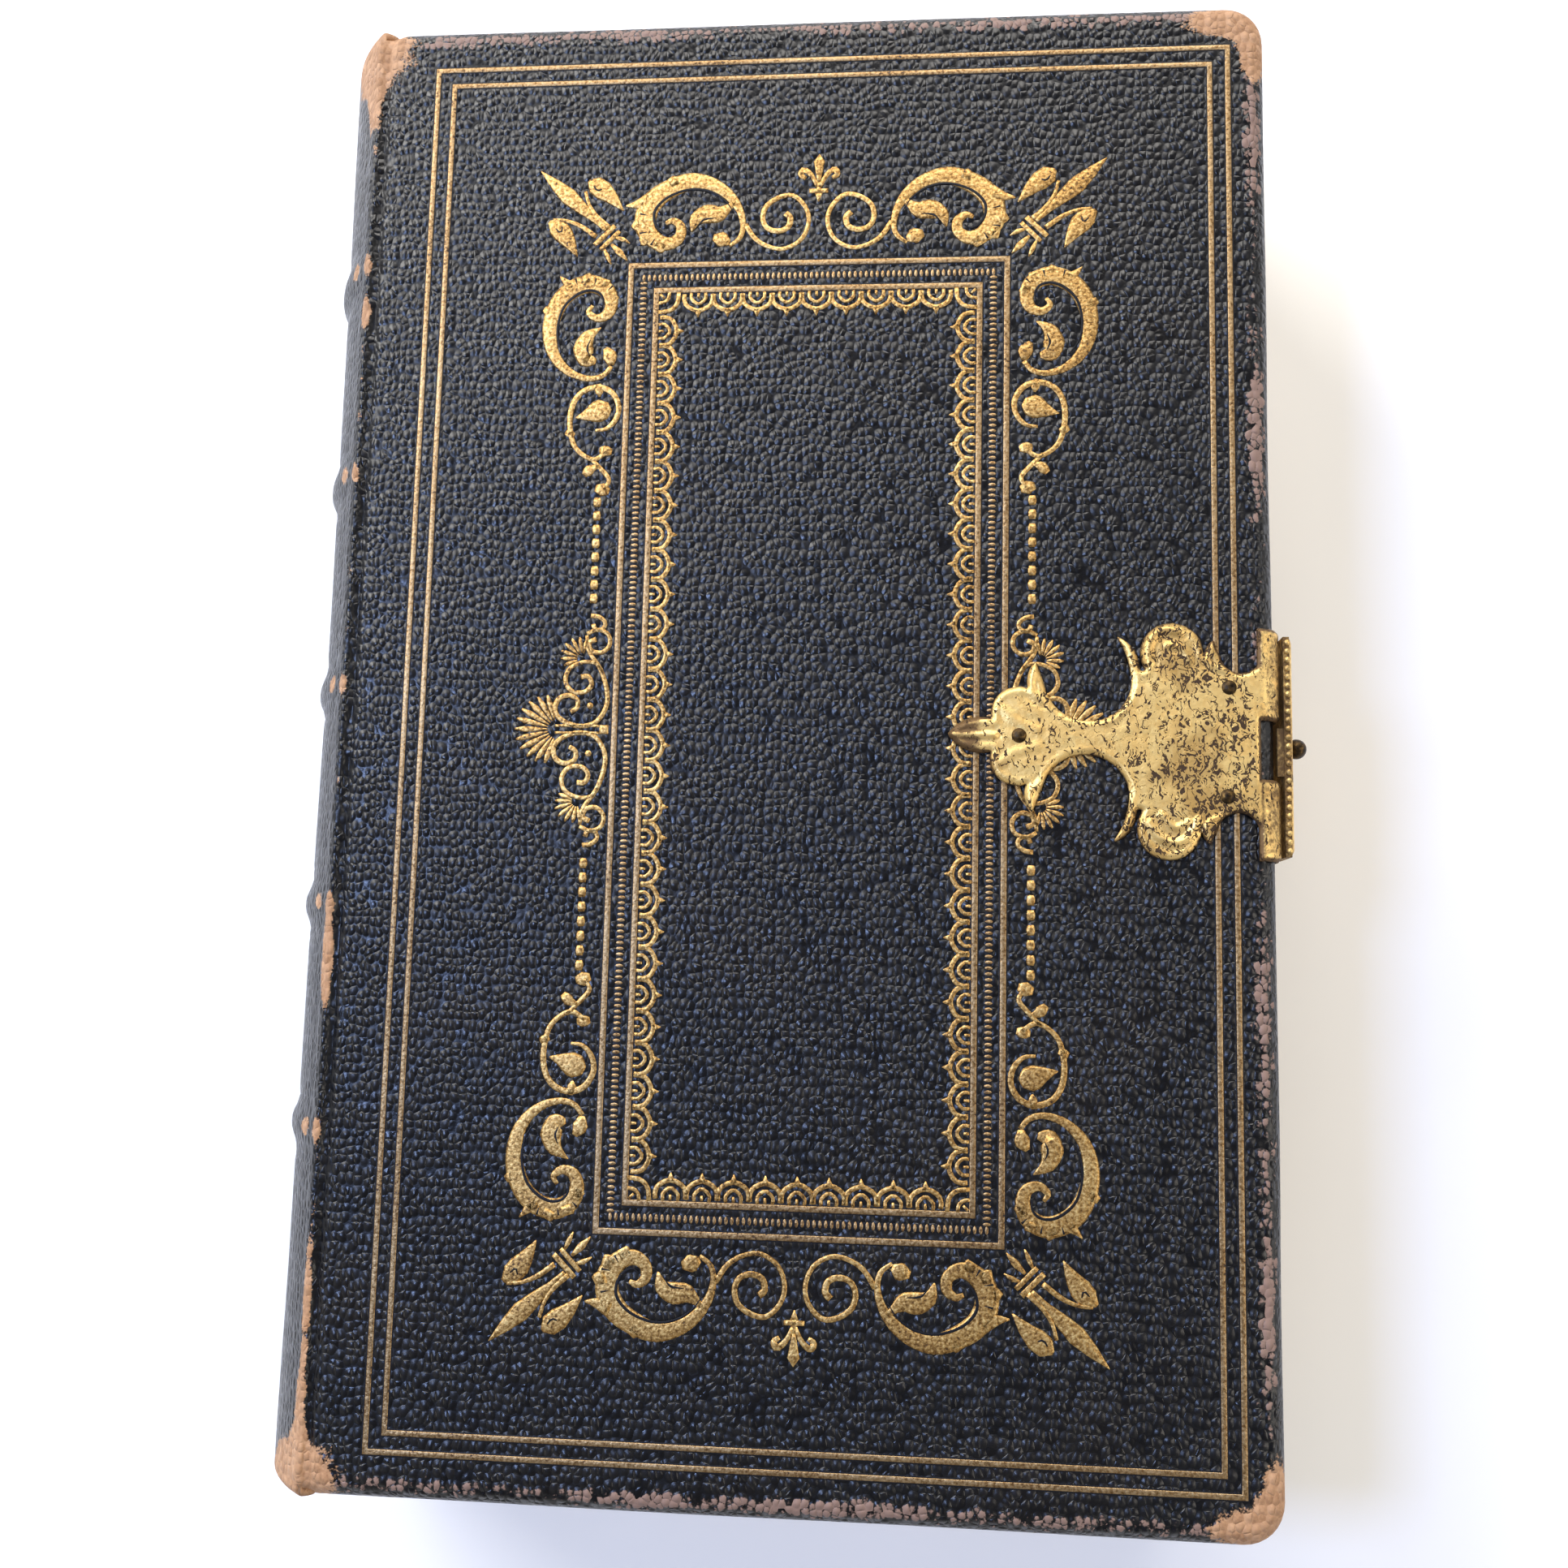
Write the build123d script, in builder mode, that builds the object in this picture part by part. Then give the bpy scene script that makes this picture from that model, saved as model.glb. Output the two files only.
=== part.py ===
"""Antique full-leather book lying closed on its rear cover, held shut by one brass clasp.

Frame: millimetres, +Z up out of the front cover, +Y towards the head of the book, +X towards the
fore edge. The origin is the centre of the rear cover's outer face, which the book rests on.
Every board, skin, sheet and metal piece is a solid of its own; the leaves are one solid.
"""

import os
from math import cos, radians, sin, sqrt

from build123d import *

# ---------------------------------------------------------------- overall sizes
cover_width = 142.0  # board from joint to fore edge
cover_height = 231.0  # board from tail to head
book_thickness = 50.0  # outer face to outer face
spine_bulge = 10.3  # how far the rounded back stands out past the joints

# ---------------------------------------------------------------- sheet thicknesses
leather = 0.9
board = 3.6  # millboard core of each cover
lining = 0.5  # turned-in leather and pastedown, level with each other
leaf = 0.3  # free endpaper
spine_paper = 0.5  # paper lining on the back, between the cords
brass = 0.9  # clasp sheet

# ---------------------------------------------------------------- gaps
joint_gap = 0.3  # between a cover's spine edge and the back
cover_gap = 0.2  # between a cover and the leaves under it
cord_gap = 0.2  # between a sewing cord and the paper linings beside it
hinge_gap = 0.2  # between neighbouring knuckles of the clasp hinge
pin_gap = 0.05  # hinge pin in the arm's knuckles
catch_gap = 0.4  # between the closed arm and the front flange
seat_gap = 0.1  # round the rear plate where it is let into the leather
end_band_gap = 0.05  # between the leaves and the round head and tail bands

# ---------------------------------------------------------------- covers
edge_round = 3.0  # rounding of a cover's outer edges
corner_round = 6.0  # rounding of the two fore-edge corners
spine_corner_round = 4.0  # rounding of the two corners at the joint
turn_in = 8.0  # width of leather folded onto a cover's inner face

# ---------------------------------------------------------------- leaves and back
square = 4.2  # how far the covers stand out past the leaves
fore_edge_hollow = 5.0  # depth of the concave fore edge
back_inset = 0.4  # the back stays this far inside each cover's outer face
shoulder_rim = 0.5  # thickness of each shoulder of the leaves at its rim
band_height = 1.5  # raised band above the back
band_pitch = 34.3
band_count = 5
band_centre_y = 6.4  # middle band; the tail panel is the longest
band_round = 3.0  # radius of a raised band's section
cap_width = 3.0  # leather cap folded over each end of the back
end_band_radius = 1.3  # round head and tail bands
end_band_inset = 0.3  # from the back of the leaves

# ---------------------------------------------------------------- clasp
clasp_y = -2.3  # centre line of the clasp
clasp_lean = -1.24  # the front plate was nailed slightly askew, in degrees
bar_width = 34.6  # cross bar of the front plate, along the fore edge
plate_overlap = 1.0  # flat part of the cross bar, behind its bend
flange_drop = 1.6  # straight part of the front flange, below its bend
notch_width = 8.8
notch_depth = 3.4
notch_shift = -0.9  # notch from the clasp's centre line
front_pins = [(-37.8, 0.0), (-7.3, 8.1), (-7.3, -8.1)]  # from the fore edge, from the centre line
rear_pins = [(-10.0, 7.0), (-10.0, -7.0)]
pin_head_radius = 1.1
pin_head_height = 0.5
pin_shank_radius = 0.55
pin_length = 3.4  # below the sheet
arm_width = 33.0
arm_waist = 15.0
arm_top_drop = 1.8  # below the front cover's face
arm_shoulder = 8.0  # straight sides at the arm's top
arm_foot = 4.0  # straight sides at the arm's root
barrel_radius = 1.5
hinge_pin_radius = 0.7
hinge_height = 3.6  # hinge axis above the rear cover's face
knuckle_length = 5.4
knuckle_count = 5
rear_tab = 15.0  # length of the rear plate on the rear cover's face
knob_radius = 1.5
knob_neck_radius = 0.8
knob_reach = 1.5  # from the arm's face to the knob's centre
knob_drop = 5.0  # below the front cover's face
rivet_head = 0.3
rivet_head_radius = 1.2
tongue_width = 7.2  # catch tongue inside the arm, standing in the notch
tongue_drop = 2.2  # below the front cover's face
tongue_reach = 0.95

# ---------------------------------------------------------------- worked-out places
fore_x = cover_width / 2
joint_x = -cover_width / 2
cover_t = leather + board + lining
mid_z = book_thickness / 2
back_x = joint_x - joint_gap  # plane where the back's leather starts
back_half = mid_z - back_inset
back_radius = (back_half**2 + spine_bulge**2) / (2 * spine_bulge)
back_centre = back_x - spine_bulge + back_radius
lining_radius = back_radius - leather
leaves_radius = lining_radius - spine_paper
band_bulge = spine_bulge + band_height
band_radius = (back_half**2 + band_bulge**2) / (2 * band_bulge)
band_centre = back_x - band_bulge + band_radius
band_ys = [band_centre_y + band_pitch * (i - (band_count - 1) / 2) for i in range(band_count)]
leaves_half = mid_z - cover_t - cover_gap - leaf
leaves_height = cover_height - 2 * square
leaves_fore_x = fore_x - square
shoulder_x = back_x - 0.1
shoulder_arc_x = shoulder_x - shoulder_rim
shoulder_half = sqrt(leaves_radius**2 - (back_centre - shoulder_arc_x) ** 2)
arm_x = fore_x + brass + catch_gap  # inner face of the closed arm
arm_top = book_thickness - arm_top_drop
arm_root = hinge_height + barrel_radius + 2 * hinge_gap
hinge_x = arm_x + barrel_radius
knuckle_span = knuckle_count * knuckle_length
knob_z = book_thickness - knob_drop
cut = 400.0  # larger than anything here, for trimming

os.makedirs("parts", exist_ok=True)


def along_y(x, y, z):
    """A place at a point, with the local Z axis laid along the book's height."""
    return Location((x, y, z), (90, 0, 0))


def along_x(x, y, z):
    """A place at a point, with the local Z axis pointing out past the fore edge."""
    return Location((x, y, z), (0, 90, 0))


def block(low, high, mode=Mode.ADD):
    """A box from its lowest to its highest corner, joined to or taken from the current part."""
    size = [h - l for l, h in zip(low, high)]
    middle = tuple((h + l) / 2 for l, h in zip(low, high))
    with Locations(middle):
        Box(*size, mode=mode)


# ================================================================ shapes shared by both covers
def cover_slab(inset, low, high, outward):
    """A cover-shaped slab with rounded outer edges; outward is 1 for the front cover, -1 for the rear."""
    with BuildPart() as slab:
        with BuildSketch(Plane.XY.offset(low)) as outline:
            Rectangle(cover_width - 2 * inset, cover_height - 2 * inset)
            corners = outline.vertices().group_by(Axis.X)
            fillet(corners[-1], corner_round - inset)
            fillet(corners[0], spine_corner_round - inset)
        extrude(amount=high - low)
        faces = slab.faces().sort_by(Axis.Z)
        outer = faces[-1] if outward > 0 else faces[0]
        fillet(outer.edges(), edge_round - inset)
    return slab.part


def edge_strip(outer_radius, face, outward, reach, drop, width):
    """Brass sheet bent round a cover's fore edge: flat for reach, a quarter bend, then straight for drop.
    outer_radius is the bend's outside radius, face the height of the sheet's outer face."""
    bend_x = fore_x - edge_round
    inner_radius = outer_radius - brass
    bend_z = face - outward * outer_radius
    turn = sqrt(0.5)
    outer_mid = (bend_x + outer_radius * turn, bend_z + outward * outer_radius * turn)
    inner_mid = (bend_x + inner_radius * turn, bend_z + outward * inner_radius * turn)
    with BuildPart() as strip:
        with BuildSketch(Plane.XZ.offset(-clasp_y)):
            with BuildLine():
                Line((bend_x - reach, face), (bend_x, face))
                ThreePointArc((bend_x, face), outer_mid, (bend_x + outer_radius, bend_z))
                Polyline(
                    (bend_x + outer_radius, bend_z),
                    (bend_x + outer_radius, bend_z - outward * drop),
                    (bend_x + inner_radius, bend_z - outward * drop),
                    (bend_x + inner_radius, bend_z),
                )
                ThreePointArc((bend_x + inner_radius, bend_z), inner_mid, (bend_x, face - outward * brass))
                Polyline(
                    (bend_x, face - outward * brass),
                    (bend_x - reach, face - outward * brass),
                    (bend_x - reach, face),
                )
            make_face()
        extrude(amount=width / 2, both=True)
    return strip.part


def pin_place(u, v, lean, face):
    """A point on a face, given from the fore edge and from the clasp's centre line."""
    turn = radians(lean)
    return fore_x + u * cos(turn) - v * sin(turn), clasp_y + u * sin(turn) + v * cos(turn), face


def domed_pin(place):
    """A drive pin pointing down, its domed head bearing on the sheet at a place."""
    dome_radius = (pin_head_radius**2 + pin_head_height**2) / (2 * pin_head_height)
    with BuildPart() as pin:
        with BuildSketch(Plane(origin=place, x_dir=(1, 0, 0), z_dir=(0, -1, 0))):
            with BuildLine():
                RadiusArc((pin_head_radius, 0), (0, pin_head_height), -dome_radius)
                Polyline(
                    (0, pin_head_height),
                    (0, -brass - pin_length),
                    (pin_shank_radius, -brass - pin_length + pin_shank_radius),
                    (pin_shank_radius, 0),
                    (pin_head_radius, 0),
                )
            make_face()
        revolve(axis=Axis(place, (0, 0, 1)))
    return pin.part


def flush_pin(place):
    """A drive pin pointing up, its flat head let in level with the sheet at a place."""
    with BuildPart() as pin:
        with BuildSketch(Plane(origin=place, x_dir=(1, 0, 0), z_dir=(0, -1, 0))):
            with BuildLine():
                Polyline(
                    (0, 0),
                    (pin_head_radius, 0),
                    (pin_head_radius, pin_head_height),
                    (pin_shank_radius, pin_head_height),
                    (pin_shank_radius, brass + pin_length - pin_shank_radius),
                    (0, brass + pin_length),
                    (0, 0),
                )
            make_face()
        revolve(axis=Axis(place, (0, 0, 1)))
    return pin.part


# ================================================================ front cover
front_inner = book_thickness - cover_t
front_slab = cover_slab(0, front_inner, book_thickness, 1)
front_core = cover_slab(leather, front_inner + lining, book_thickness - leather, 1)
plate_face = book_thickness + brass
front_nails = [domed_pin(pin_place(u, v, clasp_lean, plate_face)) for u, v in front_pins]

with BuildPart() as front_pastedown:
    with BuildSketch(Plane.XY.offset(front_inner)):
        Rectangle(cover_width - 2 * turn_in, cover_height - 2 * turn_in)
    extrude(amount=lining)
front_pastedown.part.label = "front_pastedown"
export_step(front_pastedown.part, "parts/front_pastedown.step")

with BuildPart() as front_board:
    add(front_core)
    add(front_nails, mode=Mode.SUBTRACT)
front_board.part.label = "front_board"
export_step(front_board.part, "parts/front_board.step")

with BuildPart() as front_leather:
    add(front_slab)
    add(front_core, mode=Mode.SUBTRACT)
    add(front_pastedown.part, mode=Mode.SUBTRACT)
    add(front_nails, mode=Mode.SUBTRACT)
front_leather.part.label = "front_leather"
export_step(front_leather.part, "parts/front_leather.step")

# ================================================================ rear cover
rear_slab = cover_slab(0, 0, cover_t, -1)
rear_core = cover_slab(leather, leather, leather + board, -1)
rear_nails = [flush_pin(pin_place(u, v, 0, 0)) for u, v in rear_pins]
tab_reach = rear_tab - edge_round
tab_drop = cover_t - edge_round
rear_sheet = edge_strip(edge_round, 0, -1, tab_reach, tab_drop, knuckle_span)
rear_seat = edge_strip(edge_round, 0, -1, tab_reach + seat_gap, tab_drop, knuckle_span + 2 * seat_gap)

with BuildPart() as rear_pastedown:
    with BuildSketch(Plane.XY.offset(leather + board)):
        Rectangle(cover_width - 2 * turn_in, cover_height - 2 * turn_in)
    extrude(amount=lining)
rear_pastedown.part.label = "rear_pastedown"
export_step(rear_pastedown.part, "parts/rear_pastedown.step")

with BuildPart() as rear_board:
    add(rear_core)
    add(rear_nails, mode=Mode.SUBTRACT)
rear_board.part.label = "rear_board"
export_step(rear_board.part, "parts/rear_board.step")

with BuildPart() as rear_leather:
    add(rear_slab)
    add(rear_core, mode=Mode.SUBTRACT)
    add(rear_pastedown.part, mode=Mode.SUBTRACT)
    add(rear_seat, mode=Mode.SUBTRACT)
rear_leather.part.label = "rear_leather"
export_step(rear_leather.part, "parts/rear_leather.step")

# ================================================================ leaves
with BuildPart() as text_block:
    with BuildSketch(Plane.XZ.offset(leaves_height / 2)):
        with BuildLine():
            ThreePointArc(
                (leaves_fore_x, mid_z - leaves_half),
                (leaves_fore_x - fore_edge_hollow, mid_z),
                (leaves_fore_x, mid_z + leaves_half),
            )
            Polyline(
                (leaves_fore_x, mid_z + leaves_half),
                (shoulder_x, mid_z + leaves_half),
                (shoulder_x, mid_z + shoulder_half),
                (shoulder_arc_x, mid_z + shoulder_half),
            )
            ThreePointArc(
                (shoulder_arc_x, mid_z + shoulder_half),
                (back_centre - leaves_radius, mid_z),
                (shoulder_arc_x, mid_z - shoulder_half),
            )
            Polyline(
                (shoulder_arc_x, mid_z - shoulder_half),
                (shoulder_x, mid_z - shoulder_half),
                (shoulder_x, mid_z - leaves_half),
                (leaves_fore_x, mid_z - leaves_half),
            )
        make_face()
    extrude(amount=-leaves_height)
text_block.part.label = "text_block"
export_step(text_block.part, "parts/text_block.step")

sheet_x = shoulder_x + joint_gap
sheet_width = leaves_fore_x - sheet_x
for name, low in (
    ("front_free_endpaper", mid_z + leaves_half),
    ("rear_free_endpaper", mid_z - leaves_half - leaf),
):
    with BuildPart() as endpaper:
        with BuildSketch(Plane.XY.offset(low)):
            with Locations((sheet_x + sheet_width / 2, 0)):
                Rectangle(sheet_width, leaves_height)
        extrude(amount=leaf)
    endpaper.part.label = name
    export_step(endpaper.part, f"parts/{name}.step")

# ================================================================ back
back_axis = along_y(back_centre, 0, mid_z)
band_axes = [along_y(band_centre, y, mid_z) for y in band_ys]
band_ring_radius = band_radius - band_round
joint_low = (-cut, -cut, mid_z - back_half)
joint_high = (back_x, cut, mid_z + back_half)
rim_low = (-cut, -cut, mid_z - shoulder_half)
rim_high = (shoulder_arc_x, cut, mid_z + shoulder_half)

with BuildPart() as spine_leather:
    with Locations(back_axis):
        Cylinder(back_radius, cover_height)
    with Locations(*band_axes):
        Torus(band_ring_radius, band_round)
    with Locations(back_axis):
        Cylinder(lining_radius, cover_height - 2 * leather, mode=Mode.SUBTRACT)
        Cylinder(lining_radius - cap_width, cut, mode=Mode.SUBTRACT)
    with Locations(*band_axes):
        Torus(band_ring_radius, band_round - leather, mode=Mode.SUBTRACT)
    block(joint_low, joint_high, Mode.INTERSECT)
spine_leather.part.label = "spine_leather"
export_step(spine_leather.part, "parts/spine_leather.step")

for number, axis in enumerate(reversed(band_axes), 1):
    with BuildPart() as cord:
        with Locations(axis):
            Torus(band_ring_radius, band_round - leather)
        with Locations(back_axis):
            Cylinder(leaves_radius, cut, mode=Mode.SUBTRACT)
        block(rim_low, rim_high, Mode.INTERSECT)
    cord.part.label = f"sewing_cord_{number}"
    export_step(cord.part, f"parts/sewing_cord_{number}.step")

cord_room = band_round - leather + cord_gap
panel_heads = [leaves_height / 2] + [y - cord_room for y in reversed(band_ys)]
panel_tails = [y + cord_room for y in reversed(band_ys)] + [-leaves_height / 2]
for number, (head, tail) in enumerate(zip(panel_heads, panel_tails), 1):
    with BuildPart() as panel:
        with Locations(along_y(back_centre, (head + tail) / 2, mid_z)):
            Cylinder(lining_radius, head - tail)
            Cylinder(leaves_radius, head - tail, mode=Mode.SUBTRACT)
        block(rim_low, rim_high, Mode.INTERSECT)
    panel.part.label = f"spine_lining_{number}"
    export_step(panel.part, f"parts/spine_lining_{number}.step")

end_band_reach = leaves_radius - end_band_radius - end_band_inset
end_band_y = leaves_height / 2 + end_band_radius + end_band_gap
leaves_low = (-cut, -cut, mid_z - leaves_half)
leaves_high = (back_x, cut, mid_z + leaves_half)
for name, y in (("headband", end_band_y), ("tailband", -end_band_y)):
    with BuildPart() as end_band:
        with Locations(along_y(back_centre, y, mid_z)):
            Torus(end_band_reach, end_band_radius)
        block(leaves_low, leaves_high, Mode.INTERSECT)
    end_band.part.label = name
    export_step(end_band.part, f"parts/{name}.step")

# ================================================================ clasp, front plate
clasp_plane = Plane(
    origin=(fore_x, clasp_y, book_thickness),
    x_dir=(cos(radians(clasp_lean)), sin(radians(clasp_lean)), 0),
    z_dir=(0, 0, 1),
)
plate_edge = -edge_round - plate_overlap / 2  # the flat plate ends inside the bent strip
front_sheet = edge_strip(edge_round + brass, plate_face, 1, plate_overlap, flange_drop, bar_width)

with BuildPart() as front_clasp_plate:
    with BuildSketch(clasp_plane):
        with BuildLine():
            # leaf at the tip, trefoil with its side horns, neck, long horns, lobes, then the cross bar
            ThreePointArc((-48.4, 0), (-45.9, 2.2), (-41.7, 2.3))
            ThreePointArc((-41.7, 2.3), (-41.2, 5.7), (-38.2, 7.3))
            Line((-38.2, 7.3), (-36.4, 7.2))
            ThreePointArc((-36.4, 7.2), (-36.6, 9.4), (-35.6, 11.4))
            ThreePointArc((-35.6, 11.4), (-34.7, 9.2), (-34.0, 7.0))
            ThreePointArc((-34.0, 7.0), (-27.8, 2.5), (-21.4, 8.0))
            ThreePointArc((-21.4, 8.0), (-21.4, 11.8), (-22.8, 15.2))
            ThreePointArc((-22.8, 15.2), (-21.3, 13.2), (-20.5, 10.6))
            Line((-20.5, 10.6), (-19.4, 10.6))
            ThreePointArc((-19.4, 10.6), (-15.2, 17.75), (-11.0, 12.8))
            ThreePointArc((-11.0, 12.8), (-10.5, 14.3), (-9.5, 15.4))
            Line((-9.5, 15.4), (-8.6, 13.0))
            ThreePointArc((-8.6, 13.0), (-6.0, 10.9), (plate_edge, 13.2))
            Line((plate_edge, 13.2), (plate_edge, 0))
            mirror(about=Plane.XZ)
        make_face()
    extrude(amount=brass)
    add(front_sheet)
    with Locations((fore_x + brass, clasp_y + notch_shift, mid_z)):
        Box(2 * notch_depth, notch_width, cut, mode=Mode.SUBTRACT)
    add(front_nails, mode=Mode.SUBTRACT)
front_clasp_plate.part.label = "front_clasp_plate"
export_step(front_clasp_plate.part, "parts/front_clasp_plate.step")

for number, nail in enumerate(front_nails, 1):
    with BuildPart() as front_pin:
        add(nail)
    front_pin.part.label = f"front_plate_pin_{number}"
    export_step(front_pin.part, f"parts/front_plate_pin_{number}.step")

# ================================================================ clasp, rear plate and hinge
hinge_axis = along_y(hinge_x, clasp_y, hinge_height)
knuckle_ys = [clasp_y + knuckle_length * (i - (knuckle_count - 1) / 2) for i in range(knuckle_count)]
rear_knuckle_ys = knuckle_ys[0::2]
arm_knuckle_ys = knuckle_ys[1::2]
knuckle_width = knuckle_length - hinge_gap
web_low_z = hinge_height - barrel_radius

with BuildPart() as rear_clasp_plate:
    add(rear_sheet)
    for y in rear_knuckle_ys:
        web_low = (fore_x - brass, y - knuckle_width / 2, web_low_z)
        web_high = (hinge_x, y + knuckle_width / 2, web_low_z + brass)
        block(web_low, web_high)
    with Locations(*[along_y(hinge_x, y, hinge_height) for y in rear_knuckle_ys]):
        Cylinder(barrel_radius, knuckle_width)
    with Locations(hinge_axis):
        Cylinder(hinge_pin_radius, knuckle_span, mode=Mode.SUBTRACT)
    add(rear_nails, mode=Mode.SUBTRACT)
rear_clasp_plate.part.label = "rear_clasp_plate"
export_step(rear_clasp_plate.part, "parts/rear_clasp_plate.step")

for number, nail in enumerate(rear_nails, 1):
    with BuildPart() as rear_pin:
        add(nail)
    rear_pin.part.label = f"rear_plate_pin_{number}"
    export_step(rear_pin.part, f"parts/rear_plate_pin_{number}.step")

with BuildPart() as clasp_hinge_pin:
    with Locations(hinge_axis):
        Cylinder(hinge_pin_radius, knuckle_span)
clasp_hinge_pin.part.label = "clasp_hinge_pin"
export_step(clasp_hinge_pin.part, "parts/clasp_hinge_pin.step")

# ================================================================ clasp, arm and knob
arm_plane = Plane(origin=(arm_x, clasp_y, 0), x_dir=(0, 1, 0), z_dir=(1, 0, 0))
foot_top = arm_root + arm_foot
shoulder_low = arm_top - arm_shoulder
waist_z = (foot_top + shoulder_low) / 2
tongue_y = clasp_y + notch_shift
tongue_z = book_thickness - tongue_drop

with BuildPart() as clasp_arm:
    with BuildSketch(arm_plane):
        with BuildLine():
            Polyline((0, arm_root), (knuckle_span / 2, arm_root), (knuckle_span / 2, foot_top))
            ThreePointArc(
                (knuckle_span / 2, foot_top),
                (arm_waist / 2, waist_z),
                (arm_width / 2, shoulder_low),
            )
            Polyline((arm_width / 2, shoulder_low), (arm_width / 2, arm_top), (0, arm_top))
            mirror(about=Plane.YZ)
        make_face()
    extrude(amount=brass)
    for y in arm_knuckle_ys:
        web_low = (arm_x, y - knuckle_width / 2, hinge_height)
        web_high = (arm_x + brass, y + knuckle_width / 2, arm_root)
        block(web_low, web_high)
    with Locations(*[along_y(hinge_x, y, hinge_height) for y in arm_knuckle_ys]):
        Cylinder(barrel_radius, knuckle_width)
    with Locations(hinge_axis):
        Cylinder(hinge_pin_radius + pin_gap, knuckle_span, mode=Mode.SUBTRACT)
    tongue_low = (arm_x - tongue_reach, tongue_y - tongue_width / 2, tongue_z - brass)
    tongue_high = (arm_x, tongue_y + tongue_width / 2, tongue_z)
    block(tongue_low, tongue_high)
    with Locations(along_x(arm_x, clasp_y, knob_z)):
        Cylinder(knob_neck_radius, 4 * brass, mode=Mode.SUBTRACT)
clasp_arm.part.label = "clasp_arm"
export_step(clasp_arm.part, "parts/clasp_arm.step")

with BuildPart() as clasp_knob:
    from_low = (Align.CENTER, Align.CENTER, Align.MIN)
    with Locations(along_x(arm_x - rivet_head, clasp_y, knob_z)):
        Cylinder(rivet_head_radius, rivet_head, align=from_low)
        Cylinder(knob_neck_radius, rivet_head + brass + knob_reach, align=from_low)
    with Locations((arm_x + brass + knob_reach, clasp_y, knob_z)):
        Sphere(knob_radius)
clasp_knob.part.label = "clasp_knob"
export_step(clasp_knob.part, "parts/clasp_knob.step")
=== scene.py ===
"""An antique book bound in blue-black morocco, tooled in gold and held shut by a brass clasp.

Lengths inside the functions are millimetres in the book's own frame: Z up out of the front cover,
Y towards the head, X towards the fore edge. They become metres when a mesh is made.
"""

import bmesh
import bpy
import numpy as np
from bpy.props import FloatProperty, FloatVectorProperty, IntProperty, PointerProperty
from mathutils import Matrix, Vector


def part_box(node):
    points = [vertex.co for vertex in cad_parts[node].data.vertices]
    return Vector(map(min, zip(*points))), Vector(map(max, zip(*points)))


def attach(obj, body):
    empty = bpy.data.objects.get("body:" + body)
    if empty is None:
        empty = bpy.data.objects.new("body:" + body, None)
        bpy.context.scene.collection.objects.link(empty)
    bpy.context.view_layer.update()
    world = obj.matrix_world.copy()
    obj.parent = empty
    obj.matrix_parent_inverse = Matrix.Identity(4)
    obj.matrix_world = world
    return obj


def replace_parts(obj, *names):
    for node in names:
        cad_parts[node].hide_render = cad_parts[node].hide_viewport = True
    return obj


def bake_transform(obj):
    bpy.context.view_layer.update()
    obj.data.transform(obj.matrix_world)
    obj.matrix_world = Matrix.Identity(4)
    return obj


bl_info = {
    "name": "Antique Leather Book",
    "version": (1, 0, 0),
    "blender": (4, 5, 0),
    "location": "View3D > Sidebar > Antique Book",
    "description": "Builds the binding, gold tooling, leaves and clasp round the packed model",
    "category": "Add Mesh",
}

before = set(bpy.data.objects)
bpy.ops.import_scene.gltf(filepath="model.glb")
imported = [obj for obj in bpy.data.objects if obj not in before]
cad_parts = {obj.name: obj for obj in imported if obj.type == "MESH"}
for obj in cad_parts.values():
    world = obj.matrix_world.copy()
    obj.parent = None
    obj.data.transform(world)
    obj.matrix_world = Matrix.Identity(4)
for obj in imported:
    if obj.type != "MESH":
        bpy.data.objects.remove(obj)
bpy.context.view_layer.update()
MM = 0.001


def node_box(node):
    """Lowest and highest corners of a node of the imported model, in millimetres."""
    low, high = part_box(node)
    return np.array(low) / MM, np.array(high) / MM


front_low, front_high = node_box("front_leather")
rear_low, rear_high = node_box("rear_leather")
spine_high = node_box("spine_leather")[1]
leaves_low, leaves_high = node_box("text_block")
plate_low = node_box("front_clasp_plate")[0]
arm_high = node_box("clasp_arm")[1]
headband_low, headband_high = node_box("headband")
paste_low, paste_high = node_box("front_pastedown")

MID_Z = (front_high[2] + rear_low[2]) / 2
# the back is an arc through the joints and the crown of the back between the bands
BACK_X = spine_high[0]
BACK_BULGE = 10.3
BACK_HALF = 24.6
BACK_RADIUS = (BACK_HALF**2 + BACK_BULGE**2) / (2 * BACK_BULGE)
BACK_CENTRE = BACK_X - BACK_BULGE + BACK_RADIUS
BACK_ANGLE = np.arcsin(BACK_HALF / BACK_RADIUS)
BAND_YS = (-62.2, -27.9, 6.4, 40.7, 75.0)  # middles of the raised bands
CLASP_Y = -2.3
CLASP_LEAN = np.radians(-1.24)  # the front plate is nailed on a little askew
NOTCH_Y = -3.2
# the middles of the tooling, a little off the cover's own
FILLET_MID = np.array([1.9, -0.3])
TOOLING_MID = np.array([1.5, -1.0])
# half widths and half heights of the tooled rectangles, to the middle of their lines
FILLET_HALF = np.array([63.05, 108.0])
PANEL_HALF = (29.6, 74.6)
BEADS_HALF = (27.5, 72.5)
LACE_HALF = (25.4, 70.4)
LEAF_LIFT = 0.012  # the gold's level above the leather's face
# the pressed leather beside the gold is dark partly as painted shade of the sunk impression
BED_DROP = -0.045  # and, counted from the gold's level, that of the pressed leather beside it
VEIN_LIFT = 0.055  # and that of the veins cut across it
REAR_LIFT = 0.08  # keeps the rear cover's waves off the table
BACK_LAYERS = 1.4  # leather and paper over the back of the leaves
JOINT_THICKNESS = 0.7
JOINT_RIDGE = (-71.3, 24.3)  # x of a joint's worn ridge, and its height from the book's middle
BEND_RADIUS = 3.45  # of the clasp's sheet, where it goes round the fore edge
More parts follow.
